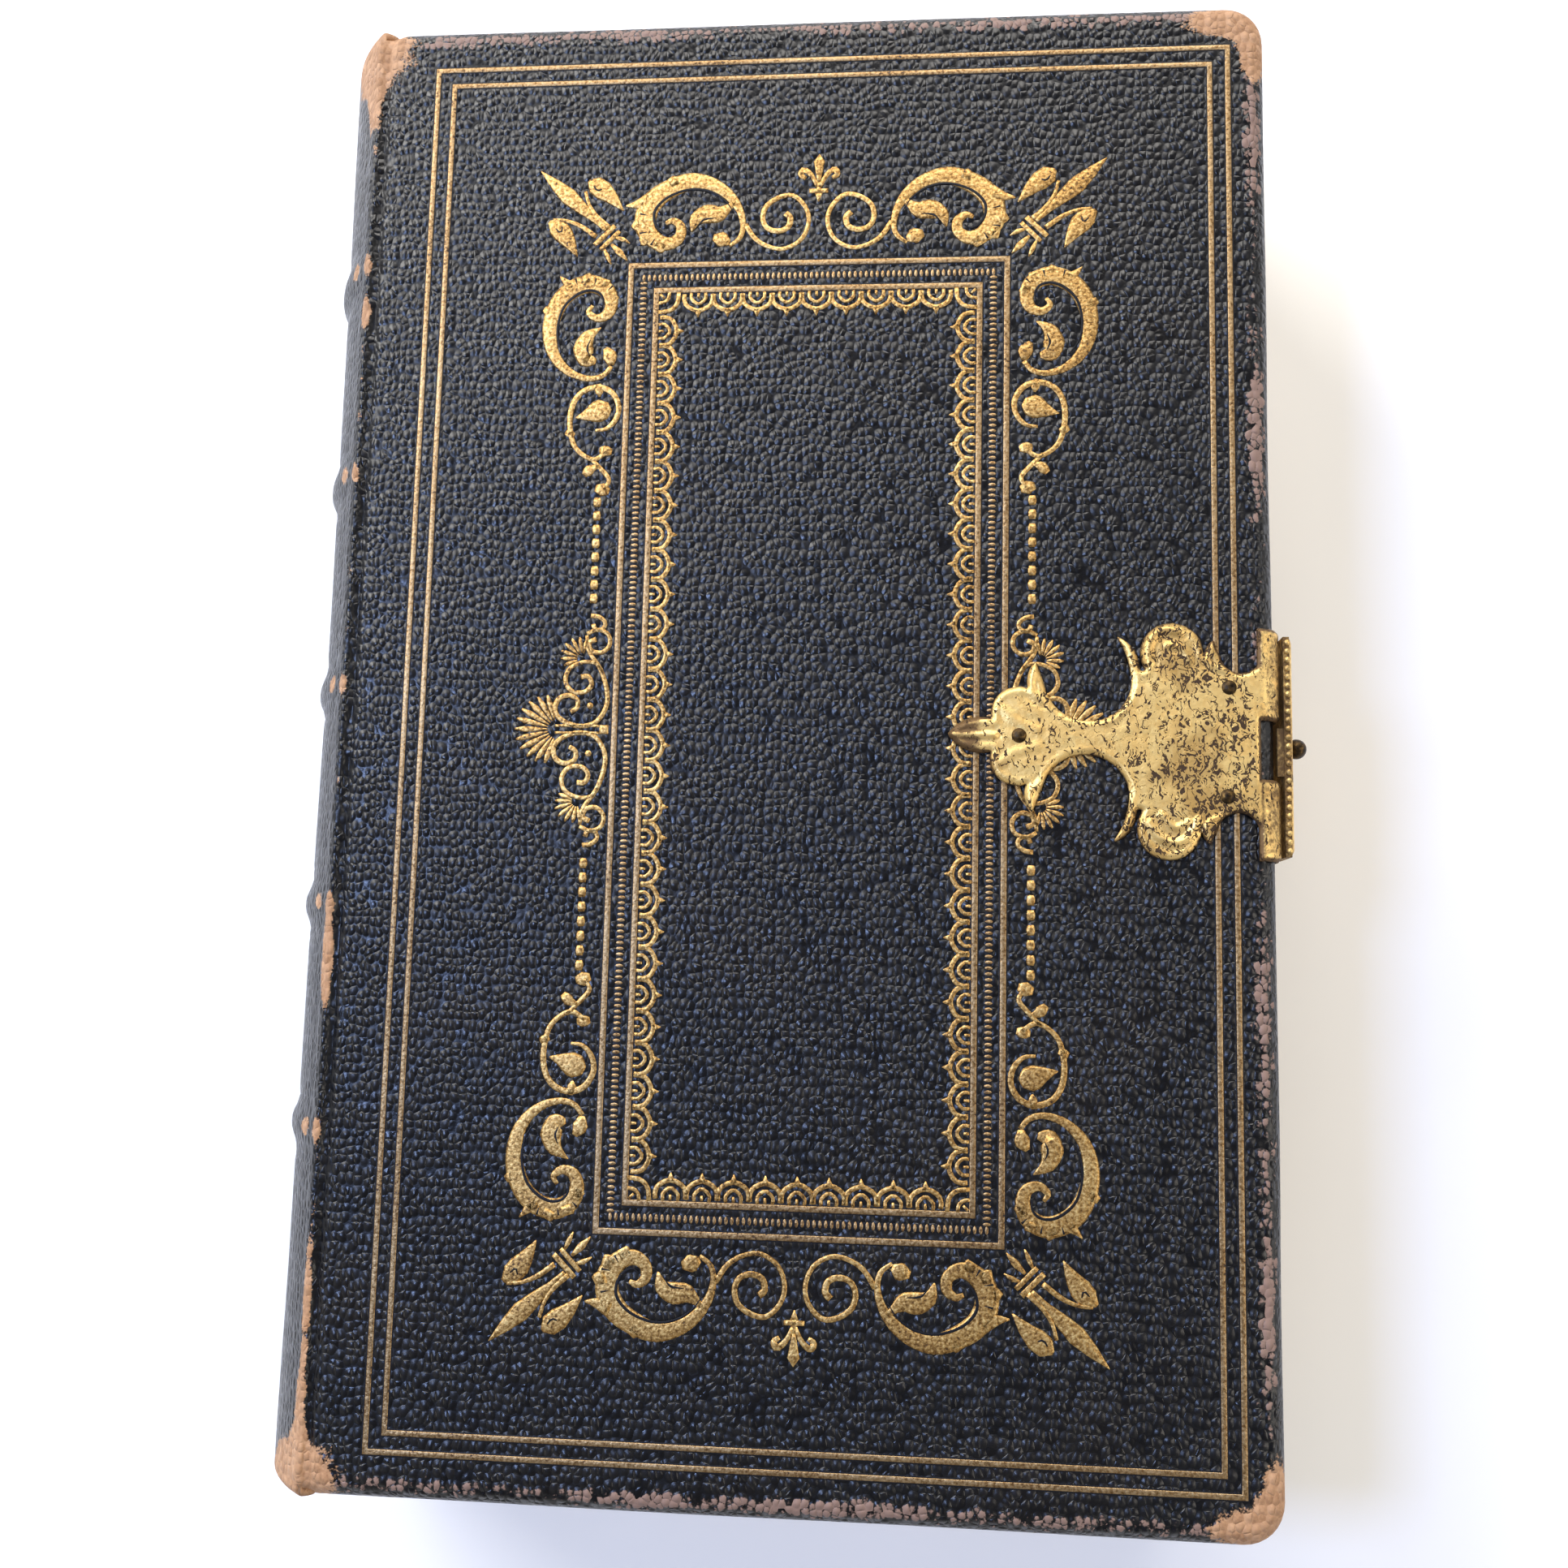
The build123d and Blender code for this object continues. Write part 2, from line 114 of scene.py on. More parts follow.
# the front plate's bar and the notch in it: where they start along the sheet, and half their heights
BAR_START, BAR_HALF = 68.1, 17.3
NOTCH_START, NOTCH_HALF = 68.5, 4.4
ARM_FACE_X = 73.17  # the foot of the arm's stamping


def linear(code):
    """An sRGB hex colour as the linear red, green, blue and alpha that Blender works with."""
    value = np.array([int(code[i : i + 2], 16) for i in (1, 3, 5)]) / 255
    value = np.where(value <= 0.04045, value / 12.92, ((value + 0.055) / 1.055) ** 2.4)
    return tuple(float(v) for v in value) + (1.0,)


def shade(colour):
    """A colour property as the four numbers a node's socket takes."""
    return tuple(colour) + (1.0,)


# ------------------------------------------------------------------ sizes and colours
class BookSizes(bpy.types.PropertyGroup):
    """Sizes of the binding in millimetres"""

    edge_round: FloatProperty(
        name="Edge rounding", description="Radius of a cover's outer edges, mm", default=3.0, min=0.5, max=4.0
    )
    corner_round: FloatProperty(
        name="Fore-edge corners", description="Radius of a cover's fore-edge corners, mm", default=6.0,
        min=1.0,
    )
    joint_corner_round: FloatProperty(
        name="Joint corners", description="Radius of a cover's corners at the joint, mm", default=4.0, min=1.0
    )
    cover_wave: FloatProperty(
        name="Cover wave", description="How far an old cover's face waves in and out, mm", default=0.07,
        min=0.0,
    )
    band_height: FloatProperty(
        name="Band height", description="How far a raised band stands above the back, mm", default=1.3,
        min=0.2,
    )
    fillet_width: FloatProperty(
        name="Fillet width", description="Width of the gold lines round a cover, mm", default=0.95, min=0.2
    )
    fillet_gap: FloatProperty(
        name="Fillet gap", description="Between the two gold lines, centre to centre, mm", default=2.76,
        min=1.0,
    )
    tooling_height: FloatProperty(
        name="Tooling height", description="How far the crown of a gold stroke stands up, mm", default=0.05,
        min=0.0,
    )
    lace_pitch: FloatProperty(
        name="Lace pitch", description="Width of one arch of the panel's lace border, mm", default=4.65,
        min=2.0,
    )
    bead_pitch: FloatProperty(
        name="Bead pitch", description="Between beads of the panel's beaded line, mm", default=0.85, min=0.4
    )
    pebble: FloatProperty(
        name="Leather pebble", description="Width of one pebble of the leather's grain, mm", default=1.1,
        min=0.3,
    )
    plate_pitch: FloatProperty(
        name="Clasp mesh pitch", description="Grid spacing of the clasp's relief, mm", default=0.26, min=0.1
    )
    leaf_levels: IntProperty(
        name="Leaf ridges", description="Ridges up the edges of the leaves", default=150, min=20, max=400
    )


class BookColours(bpy.types.PropertyGroup):
    """Colours of the finishes"""

    leather: FloatVectorProperty(
        name="Leather", description="Dyed morocco", subtype="COLOR", default=linear("#0A0A0D")[:3]
    )
    # painted highlight: the colour of the pebble tops is partly rubbing and partly a painted highlight over
    # darker creases
    leather_rubbed_and_highlight: FloatVectorProperty(
        name="Leather pebbles", description="Rubbed tops of the pebbles", subtype="COLOR",
        default=linear("#17171C")[:3],
    )
    leather_bare: FloatVectorProperty(
        name="Bare leather", description="Undyed skin where the dye has worn off", subtype="COLOR",
        default=linear("#B98F66")[:3],
    )
    leather_scuff: FloatVectorProperty(
        name="Scuffed leather", description="Dry scuffs along the edges", subtype="COLOR",
        default=linear("#917669")[:3],
    )
    gold: FloatVectorProperty(
        name="Gold leaf", description="Gold leaf tooled into the leather", subtype="COLOR",
        default=linear("#C39A5C")[:3],
    )
    brass: FloatVectorProperty(
        name="Gilt brass", description="Stamped brass of the clasp", subtype="COLOR",
        default=linear("#F7D48A")[:3],
    )
    tarnish: FloatVectorProperty(
        name="Tarnish", description="Brown tarnish in the low parts", subtype="COLOR",
        default=linear("#5C4226")[:3],
    )
    paper: FloatVectorProperty(
        name="Paper", description="Aged rag paper", subtype="COLOR", default=linear("#DDCDA9")[:3]
    )
    edge_paper: FloatVectorProperty(
        name="Leaf edges", description="Dusty cut edges of the leaves", subtype="COLOR",
        default=linear("#C6AE82")[:3],
    )


# ------------------------------------------------------------------ meshes from arrays
def grid_faces(rows, columns, close_rows=False, close_columns=False):
    """Quads over a grid of points numbered row by row, joined round where a direction closes."""
    i = np.arange(rows if close_rows else rows - 1)
    j = np.arange(columns if close_columns else columns - 1)
    i, j = np.meshgrid(i, j, indexing="ij")
    down = (i + 1) % rows
    right = (j + 1) % columns
    quads = np.stack([i * columns + j, down * columns + j, down * columns + right, i * columns + right], -1)
    return quads.reshape(-1, 4)


def closed_tube(points):
    """A tube's points, shape (stations, section, 3), as one closed mesh: quads along it and a cap at each
    end. The section runs clockwise seen from the tube's start, so faces point outwards."""
    stations, section = points.shape[:2]
    quads = grid_faces(stations, section, close_columns=True).tolist()
    first = list(range(section))
    last = list(range((stations - 1) * section, stations * section))[::-1]
    return points.reshape(-1, 3), [*quads, first, last]


def new_piece(name, points, faces, material, body=None, attributes=None, weld=False, smooth=True):
    """Makes a mesh object from points in millimetres. Its place is in its mesh, so the object sits at the
    origin. attributes are numbers for each point that its material reads. weld merges the doubled points
    of seams and poles."""
    mesh = bpy.data.meshes.new(name)
    faces = faces.tolist() if isinstance(faces, np.ndarray) else faces
    mesh.from_pydata((np.asarray(points, float) * MM).tolist(), [], faces)
    for label, values in (attributes or {}).items():
        layer = mesh.attributes.new(label, "FLOAT", "POINT")
        layer.data.foreach_set("value", np.asarray(values, np.float32))
    if weld:
        close_seams(mesh)
    mesh.polygons.foreach_set("use_smooth", np.full(len(mesh.polygons), smooth))
    mesh.materials.append(material)
    mesh.update()
    piece = bpy.data.objects.new(name, mesh)
    bpy.context.scene.collection.objects.link(piece)
    if body:
        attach(piece, body)
    return piece


def close_seams(mesh):
    """Merges points of a mesh that lie on each other, and turns every face outwards."""
    work = bmesh.new()
    work.from_mesh(mesh)
    bmesh.ops.remove_doubles(work, verts=work.verts, dist=2e-6)
    bmesh.ops.dissolve_degenerate(work, edges=work.edges, dist=1e-7)
    bmesh.ops.recalc_face_normals(work, faces=work.faces)
    work.to_mesh(mesh)
    work.free()


def waves(x, y, seed, length, count=5):
    """Slow smooth waves over a plane, from -1 to 1: a mean of sines of about one wavelength in seeded
    directions."""
    rng = np.random.default_rng(seed)
    total = np.zeros(np.broadcast(x, y).shape)
    for turn, phase, stretch in zip(
        rng.uniform(0, np.pi, count), rng.uniform(0, 7, count), rng.uniform(0.7, 1.5, count)
    ):
        total = total + np.sin((x * np.cos(turn) + y * np.sin(turn)) * 2 * np.pi / (length * stretch) + phase)
    return total / count


def spot(points, centre, reach):
    """A soft spot: 1 at its centre, falling as a bell over its reach along each axis."""
    away = (points - np.asarray(centre, float)) / np.asarray(reach, float)
    return np.exp(-(away**2).sum(-1))


def smooth_step(value, low, high):
    """0 below low, 1 above high, with a smooth S between."""
    t = np.clip((value - low) / (high - low), 0, 1)
    return t * t * (3 - 2 * t)


def rotation(angle):
    """The matrix that turns the plane anticlockwise by an angle."""
    return np.array([[np.cos(angle), -np.sin(angle)], [np.sin(angle), np.cos(angle)]])


def rounded_outline(half_x, half_y, radii, drawn_in, pitch=2.0, arc_steps=8):
    """Outlines of a rounded rectangle, each drawn in by one distance: shape (outlines, points, 2).
    A corner is an arc of its radius less the distance drawn in, and sides are straight. Corners go
    anticlockwise from the one at high x and y."""
    draw = np.asarray(drawn_in, float)[:, None]
    arcs = []
    for quarter, (side_x, side_y, radius) in enumerate(zip((1, -1, -1, 1), (1, 1, -1, -1), radii)):
        turn = np.pi / 2 * (quarter + np.linspace(0, 1, arc_steps + 1))[None]
        left = np.maximum(radius - draw, 0)
        reach = np.maximum(draw, radius)
        x = side_x * np.maximum(half_x - reach, 0) + left * np.cos(turn)
        y = side_y * (half_y - reach) + left * np.sin(turn)
        arcs.append(np.stack([x, y], -1))
    runs = []
    for arc, following in zip(arcs, arcs[1:] + arcs[:1]):
        start, end = arc[:, -1:], following[:, :1]
        count = max(int(np.linalg.norm(end - start, axis=-1).max() / pitch), 1)
        t = np.linspace(0, 1, count + 1)[None, 1:-1, None]
        runs += [arc, start + (end - start) * t]
    return np.concatenate(runs, 1)


# ------------------------------------------------------------------ materials
def add(tree, kind, settings, inputs):
    """Adds a node to a material, sets it up and joins its inputs. An input is a number, a colour, another
    node's output, or a node, for its first output; stops, for a ramp, are (place, colour) pairs."""
    made = tree.nodes.new("ShaderNode" + kind)
    for name, value in settings.items():
        if name == "stops":
            points = made.color_ramp.elements
            for point, (place, colour) in zip([points[0], points[1]], value):
                point.position = place
                point.color = colour
            for place, colour in value[2:]:
                points.new(place).color = colour
        else:
            setattr(made, name, value)
    for name, value in inputs.items():
        if isinstance(value, bpy.types.NodeSocket):
            tree.links.new(value, made.inputs[name])
        elif isinstance(value, bpy.types.Node):
            tree.links.new(next(out for out in value.outputs if out.enabled), made.inputs[name])
        else:
            made.inputs[name].default_value = value
    return made


# settings that many nodes share
TIMES = {"operation": "MULTIPLY"}
PLUS = {"operation": "ADD"}
MINUS = {"operation": "SUBTRACT"}
TIMES_PLUS = {"operation": "MULTIPLY_ADD"}
LARGER = {"operation": "MAXIMUM"}
SCALED = {"operation": "SCALE"}
TINTS = {"data_type": "RGBA"}
SOFTLY = {"interpolation_type": "SMOOTHSTEP"}
CELLS = {"feature": "F1"}


def new_material(name):
    """An empty material, its node tree, and the place on the piece that its patterns read."""
    material = bpy.data.materials.new(name)
    material.use_nodes = True
    tree = material.node_tree
    tree.nodes.clear()
    return material, tree, add(tree, "TexCoord", {}, {}).outputs["Object"]


def finish_surface(tree, inputs, height, depth):
    """Ends a material: a Principled surface with these inputs, its bumps depth metres tall."""
    bump = add(tree, "Bump", {}, {"Height": height, "Distance": depth, "Strength": 1.0})
    surface = add(tree, "BsdfPrincipled", {}, {**inputs, "Normal": bump})
    add(tree, "OutputMaterial", {}, {"Surface": surface})


def morocco(sizes, colours):
    """Morocco: goatskin dyed blue-black, boarded to a pebbled grain and glazed by years of hands.

    Pebbles about 1.1 mm across with fine creases between, each catching its own glint. Their tops are
    painted lighter than the creases, partly as rubbing and partly as painted highlight. Where dye has
    rubbed off at corners, joints and bands the skin is bare tan; edges are dry and scuffed.
    """
    material, tree, place = new_material("blue_black_morocco")
    drift = add(tree, "TexNoise", {}, {"Vector": place, "Scale": 260.0, "Detail": 0.0}).outputs["Color"]
    drift = add(tree, "VectorMath", MINUS, {0: drift, 1: (0.5, 0.5, 0.5)})
    drift = add(tree, "VectorMath", SCALED, {0: drift, "Scale": 0.0009})
    moved = add(tree, "VectorMath", PLUS, {0: place, 1: drift})
    # the grain is boarded slightly longer along the book's height than across it
    stretched = add(tree, "Mapping", {}, {"Vector": moved, "Scale": (1.0, 0.8, 1.0)})
    scale = 1 / (sizes.pebble * MM)
    spaced = {"Vector": stretched, "Scale": scale, "Randomness": 0.68}
    pebble = add(tree, "TexVoronoi", CELLS, spaced)
    crease = add(tree, "TexVoronoi", {"feature": "DISTANCE_TO_EDGE"}, spaced)
    gap = add(tree, "MapRange", SOFTLY, {0: crease, 1: 0.0, 2: 0.13, 3: 0.4, 4: 1.0})
    dome = add(tree, "MapRange", SOFTLY, {0: pebble, 1: 0.78, 2: 0.05, 3: 0.0, 4: 1.0})
    dome = add(tree, "Math", TIMES, {0: dome, 1: gap})
    own = add(tree, "SeparateColor", {}, {"Color": pebble.outputs["Color"]})
    pores = add(tree, "TexNoise", {}, {"Vector": place, "Scale": 2600.0, "Detail": 2.0})
    broad = add(tree, "TexNoise", {}, {"Vector": place, "Scale": 38.0, "Detail": 3.0})
    ragged = add(tree, "TexNoise", {}, {"Vector": place, "Scale": 420.0, "Detail": 4.0, "Roughness": 0.65})
    tall = add(tree, "Math", TIMES_PLUS, {0: own.outputs[0], 1: 0.35, 2: 0.75})
    height = add(tree, "Math", TIMES, {0: dome, 1: tall})
    height = add(tree, "Math", TIMES_PLUS, {0: pores, 1: 0.12, 2: height})

    # painted highlight and shade: pebble tops are drawn lighter and the creases darker, partly as rubbing
    top = add(tree, "MapRange", {}, {0: dome, 1: 0.35, 2: 1.0, 3: 0.0, 4: 1.0})
    rubbed = add(tree, "Math", TIMES, {0: top, 1: own.outputs[1]})
    colour = add(
        tree, "Mix", TINTS, {"Factor": rubbed, 6: shade(colours.leather), 7: shade(colours.leather_rubbed_and_highlight)}
    )
    faded = add(tree, "MapRange", {}, {0: broad, 1: 0.5, 2: 0.75, 3: 0.0, 4: 0.55})
    colour = add(tree, "Mix", TINTS, {"Factor": faded, 6: colour, 7: linear("#181412")})
    rough = add(tree, "Math", TIMES_PLUS, {0: own.outputs[2], 1: 0.14, 2: 0.27})
    wear = add(tree, "Attribute", {"attribute_name": "wear"}, {}).outputs["Fac"]
    scuff = add(tree, "Attribute", {"attribute_name": "scuff"}, {}).outputs["Fac"]
    specks = add(tree, "Math", TIMES_PLUS, {0: pores, 1: 0.5, 2: wear})
    specks = add(tree, "Math", MINUS, {0: specks, 1: 0.62})
    patchy = add(tree, "Math", TIMES_PLUS, {0: ragged, 1: 0.75, 2: specks})
    bare = add(tree, "MapRange", SOFTLY, {0: patchy, 1: 0.42, 2: 0.56})
    # scuffed pebbles: the tallest tops near the edges have lost their glaze, one by one
    tops = add(tree, "Math", TIMES_PLUS, {0: dome, 1: 0.3, 2: scuff})
    dry = add(tree, "Math", TIMES_PLUS, {0: own.outputs[2], 1: 0.38, 2: tops})
    dry = add(tree, "Math", TIMES_PLUS, {0: pores, 1: 0.5, 2: dry})
    dry = add(tree, "MapRange", SOFTLY, {0: dry, 1: 1.28, 2: 1.42, 3: 0.0, 4: 0.85})
    skin = add(tree, "Mix", TINTS, {"Factor": pores, 6: linear("#7E553A"), 7: shade(colours.leather_bare)})
    skin = add(
        tree, "Mix", TINTS,
        {"Factor": add(tree, "Math", TIMES, {0: own.outputs[0], 1: 0.5}), 6: skin, 7: linear("#CFA580")},
    )
    colour = add(tree, "Mix", TINTS, {"Factor": dry, 6: colour, 7: shade(colours.leather_scuff)})
    colour = add(tree, "Mix", TINTS, {"Factor": bare, 6: colour, 7: skin})
    rough = add(
        tree, "Math", LARGER,
        {0: rough, 1: add(tree, "Math", TIMES, {0: add(tree, "Math", LARGER, {0: bare, 1: dry}), 1: 0.72})},
    )
    inputs = {"Base Color": colour, "Roughness": rough, "Specular IOR Level": 0.42, "IOR": 1.5}
    finish_surface(tree, inputs, height, 0.00022)
    return material


def pressed_leather_and_shade():
    """Leather pressed smooth and dark by the heated finishing tool, beside and under the gold.

    The grain is flattened, so it is darker than the skin round it and has one soft gloss. Beside the gold
    lines its darkness is also painted shade, standing in for the shade in the sunk impression.
    """
    material, tree, place = new_material("pressed_leather_and_shade")
    fine = add(tree, "TexNoise", {}, {"Vector": place, "Scale": 1300.0, "Detail": 2.0})
    colour = add(tree, "Mix", TINTS, {"Factor": fine, 6: linear("#07080C"), 7: linear("#15151B")})
    inputs = {"Base Color": colour, "Roughness": 0.5, "Specular IOR Level": 0.25}
    finish_surface(tree, inputs, fine, 0.00004)
    return material


def gold_leaf(name, colours, rubbed):
    """Gold leaf laid over glaire and pressed in with a hot tool.

    Real gold, so it never tarnishes, but it takes the grain under it: mottled bright and brown, with
    pinholes and rubbed places where the dark leather shows.
    """
    material, tree, place = new_material(name)
    grain = add(tree, "TexVoronoi", CELLS, {"Vector": place, "Scale": 2400.0})
    fine = add(tree, "TexNoise", {}, {"Vector": place, "Scale": 1900.0, "Detail": 3.0, "Roughness": 0.6})
    broad = add(tree, "TexNoise", {}, {"Vector": place, "Scale": 60.0, "Detail": 2.0})
    tone = add(tree, "Math", TIMES_PLUS, {0: broad, 1: 0.3, 2: add(tree, "Math", TIMES, {0: fine, 1: 0.95})})
    bright = linear("#A78A62") if rubbed else shade(colours.gold)
    stops = ((0.46, linear("#7A5830")), (0.63, bright), (0.82, linear("#BFA57E" if rubbed else "#EBCD8C")))
    colour = add(tree, "ValToRGB", {"stops": stops}, {"Fac": tone}).outputs[0]
    lost = add(tree, "Math", TIMES_PLUS, {0: broad, 1: 0.45, 2: fine})
    lost = add(tree, "MapRange", {}, {0: lost, 1: 0.6 if rubbed else 0.56, 2: 0.48, 3: 0.0, 4: 1.0})
    colour = add(tree, "Mix", TINTS, {"Factor": lost, 6: colour, 7: linear("#14110F")})
    metal = add(tree, "Math", MINUS, {0: 1.0, 1: lost})
    rough = add(tree, "Math", TIMES_PLUS, {0: fine, 1: 0.25, 2: 0.36})
    height = add(tree, "Math", TIMES_PLUS, {0: grain.outputs["Distance"], 1: 0.6, 2: fine})
    finish_surface(tree, {"Base Color": colour, "Roughness": rough, "Metallic": metal}, height, 0.00006)
    return material


def gilt_brass(name, colours, tarnished):
    """Sheet brass, die-stamped and fire-gilt, then worn and pitted with age.

    Rich yellow where the gilding holds, with dark corroded pits a millimetre long and brown tarnish in
    the hollows and along the rims. The relief attribute, where a piece has it, darkens its low parts.
    """
    material, tree, place = new_material(name)
    drift = add(tree, "TexNoise", {}, {"Vector": place, "Scale": 500.0, "Detail": 2.0}).outputs["Color"]
    drift = add(tree, "VectorMath", SCALED, {0: drift, "Scale": 0.0026})
    moved = add(tree, "VectorMath", PLUS, {0: place, 1: drift})
    turned = {"Vector": moved, "Rotation": (0.0, 0.0, 0.9), "Scale": (1.0, 0.55, 1.0)}
    long_way = add(tree, "Mapping", {}, turned)
    cells = add(tree, "TexVoronoi", CELLS, {"Vector": long_way, "Scale": 640.0})
    fine = add(tree, "TexNoise", {}, {"Vector": place, "Scale": 1500.0, "Detail": 4.0, "Roughness": 0.6})
    broad = add(tree, "TexNoise", {}, {"Vector": place, "Scale": 130.0, "Detail": 3.0})
    relief = add(tree, "Attribute", {"attribute_name": "relief"}, {}).outputs["Fac"]
    rub = add(tree, "Attribute", {"attribute_name": "pits"}, {}).outputs["Fac"]
    own = add(tree, "SeparateColor", {}, {"Color": cells.outputs["Color"]})
    # corrosion pits are the peaks of a twisted fine pattern, more of them where the pits attribute is high
    twisted = {"Vector": long_way, "Scale": 1250.0, "Detail": 2.0, "Roughness": 0.55, "Distortion": 1.3}
    worms = add(tree, "TexNoise", {}, twisted)
    dense = add(
        tree, "Math", TIMES_PLUS,
        {0: rub, 1: 0.13, 2: add(tree, "Math", TIMES_PLUS, {0: broad, 1: 0.2, 2: -0.1})},
    )
    near = add(tree, "Math", PLUS, {0: worms, 1: dense})
    least = 0.72 if tarnished else 0.625
    pit = add(tree, "MapRange", SOFTLY, {0: near, 1: least, 2: least + 0.05})
    pale = add(tree, "Mix", TINTS, {"Factor": fine, 6: linear("#E9BA68"), 7: shade(colours.brass)})
    pale = add(
        tree, "Mix", TINTS,
        {"Factor": add(tree, "Math", TIMES, {0: own.outputs[0], 1: 0.35}), 6: pale, 7: linear("#F3DC98")},
    )
    mottle = add(tree, "MapRange", SOFTLY, {0: broad, 1: 0.48, 2: 0.62, 3: 0.0, 4: 0.5})
    pale = add(tree, "Mix", TINTS, {"Factor": mottle, 6: pale, 7: linear("#A87F43")})
    soot = add(
        tree, "Math", TIMES_PLUS, {0: broad, 1: 0.55, 2: add(tree, "Math", MINUS, {0: fine, 1: relief})}
    )
    low_end = 0.35 if tarnished else 0.72
    soot = add(tree, "MapRange", SOFTLY, {0: soot, 1: low_end, 2: low_end + 0.5, 3: 0.0, 4: 0.95})
    colour = add(tree, "Mix", TINTS, {"Factor": soot, 6: pale, 7: shade(colours.tarnish)})
    colour = add(tree, "Mix", TINTS, {"Factor": pit, 6: colour, 7: linear("#3D2A16")})
    dirt = add(tree, "Math", LARGER, {0: pit, 1: add(tree, "Math", TIMES, {0: soot, 1: 0.6})})
    rough = add(
        tree, "Math", TIMES_PLUS,
        {0: dirt, 1: 0.28, 2: add(tree, "Math", TIMES_PLUS, {0: fine, 1: 0.2, 2: 0.34})},
    )
    metal = add(tree, "Math", TIMES_PLUS, {0: dirt, 1: -0.4, 2: 0.74})
    height = add(
        tree, "Math", TIMES_PLUS,
        {
            0: pit, 1: -0.8,
            2: add(
                tree, "Math", TIMES_PLUS,
                {0: own.outputs[1], 1: 0.25, 2: add(tree, "Math", TIMES, {0: fine, 1: 0.5})},
            ),
        },
    )
    finish_surface(tree, {"Base Color": colour, "Roughness": rough, "Metallic": metal}, height, 0.00016)
    return material


def dark_brass():
    """Brass escutcheon pins, never gilt: tarnished nearly black, rubbed brown on the crown."""
    material, tree, place = new_material("dark_brass")
    fine = add(tree, "TexNoise", {}, {"Vector": place, "Scale": 1400.0, "Detail": 3.0})
    stops = ((0.35, linear("#1E1812")), (0.6, linear("#4B3A22")), (0.8, linear("#8B6C38")))
    colour = add(tree, "ValToRGB", {"stops": stops}, {"Fac": fine}).outputs[0]
    rough = add(tree, "Math", TIMES_PLUS, {0: fine, 1: 0.3, 2: 0.3})
    finish_surface(tree, {"Base Color": colour, "Roughness": rough, "Metallic": 0.85}, fine, 0.00008)
    return material


def aged_paper(name, base, spots, layered=False):
    """Laid rag paper: matt, fibrous, toned by age and dotted with faint brown foxing.

    Cut edges of leaves are the same paper seen end on: hundreds of lines a quarter of a millimetre
    apart, drawn a little coarser than real so that they show, and dusty brown, with painted shade
    darkening the gaps between the leaves.
    """
    material, tree, place = new_material(name)
    fibre = add(tree, "TexNoise", {}, {"Vector": place, "Scale": 2520.0, "Detail": 4.0})
    broad = add(tree, "TexNoise", {}, {"Vector": place, "Scale": 45.0, "Detail": 3.0})
    fox = add(tree, "TexNoise", {}, {"Vector": place, "Scale": 210.0, "Detail": 2.0})
    colour = add(
        tree, "Mix", TINTS, {"Factor": add(tree, "Math", TIMES, {0: broad, 1: 0.9}), 6: base, 7: spots}
    )
    foxed = add(tree, "MapRange", SOFTLY, {0: fox, 1: 0.66, 2: 0.8, 3: 0.0, 4: 0.7})
    colour = add(tree, "Mix", TINTS, {"Factor": foxed, 6: colour, 7: linear("#8A6238")})
    height = add(tree, "Math", TIMES, {0: fibre, 1: 0.6})
    depth = 0.00005
    if layered:
        flat = add(tree, "Mapping", {}, {"Vector": place, "Scale": (9.0, 9.0, 3400.0)})
        lines = add(tree, "TexNoise", {}, {"Vector": flat, "Scale": 1.0, "Detail": 3.0, "Roughness": 0.7})
        # painted shade: the low lines between the leaves are drawn darker brown
        painted_gap_shade = add(tree, "MapRange", SOFTLY, {0: lines, 1: 0.3, 2: 0.55, 3: 0.5, 4: 0.0})
        colour = add(tree, "Mix", TINTS, {"Factor": painted_gap_shade, 6: colour, 7: linear("#6E5330")})
        height = add(tree, "Math", TIMES_PLUS, {0: fibre, 1: 0.2, 2: lines})
        depth = 0.0002
    finish_surface(tree, {"Base Color": colour, "Roughness": 0.86, "Specular IOR Level": 0.25}, height, depth)
    return material


def millboard():
    """Millboard: grey-brown pulp of rope and waste paper rolled hard, with flecks of fibre."""
    material, tree, place = new_material("grey_millboard")
    fleck = add(tree, "TexVoronoi", CELLS, {"Vector": place, "Scale": 900.0})
    pulp = add(tree, "TexNoise", {}, {"Vector": place, "Scale": 700.0, "Detail": 5.0})
    colour = add(tree, "Mix", TINTS, {"Factor": pulp, 6: linear("#6E6252"), 7: linear("#A39680")})
    finish_surface(tree, {"Base Color": colour, "Roughness": 0.9}, fleck.outputs["Distance"], 0.0001)
    return material


def twisted_cord():
    """Linen sewing cord: plied flax, undyed and gone grey, its plies a millimetre and a half apart."""
    material, tree, place = new_material("twisted_linen")
    turned = add(tree, "Mapping", {}, {"Vector": place, "Rotation": (0.6, 0.0, 0.6)})
    plies = add(
        tree, "TexWave", {"bands_direction": "Y"}, {"Vector": turned, "Scale": 105.0, "Distortion": 1.0}
    )
    # painted shade: the grooves between the plies are drawn darker and their crowns lighter
    colour = add(tree, "Mix", TINTS, {"Factor": plies, 6: linear("#7D6C50"), 7: linear("#CDBD98")})
    finish_surface(tree, {"Base Color": colour, "Roughness": 0.9}, plies, 0.0003)
    return material


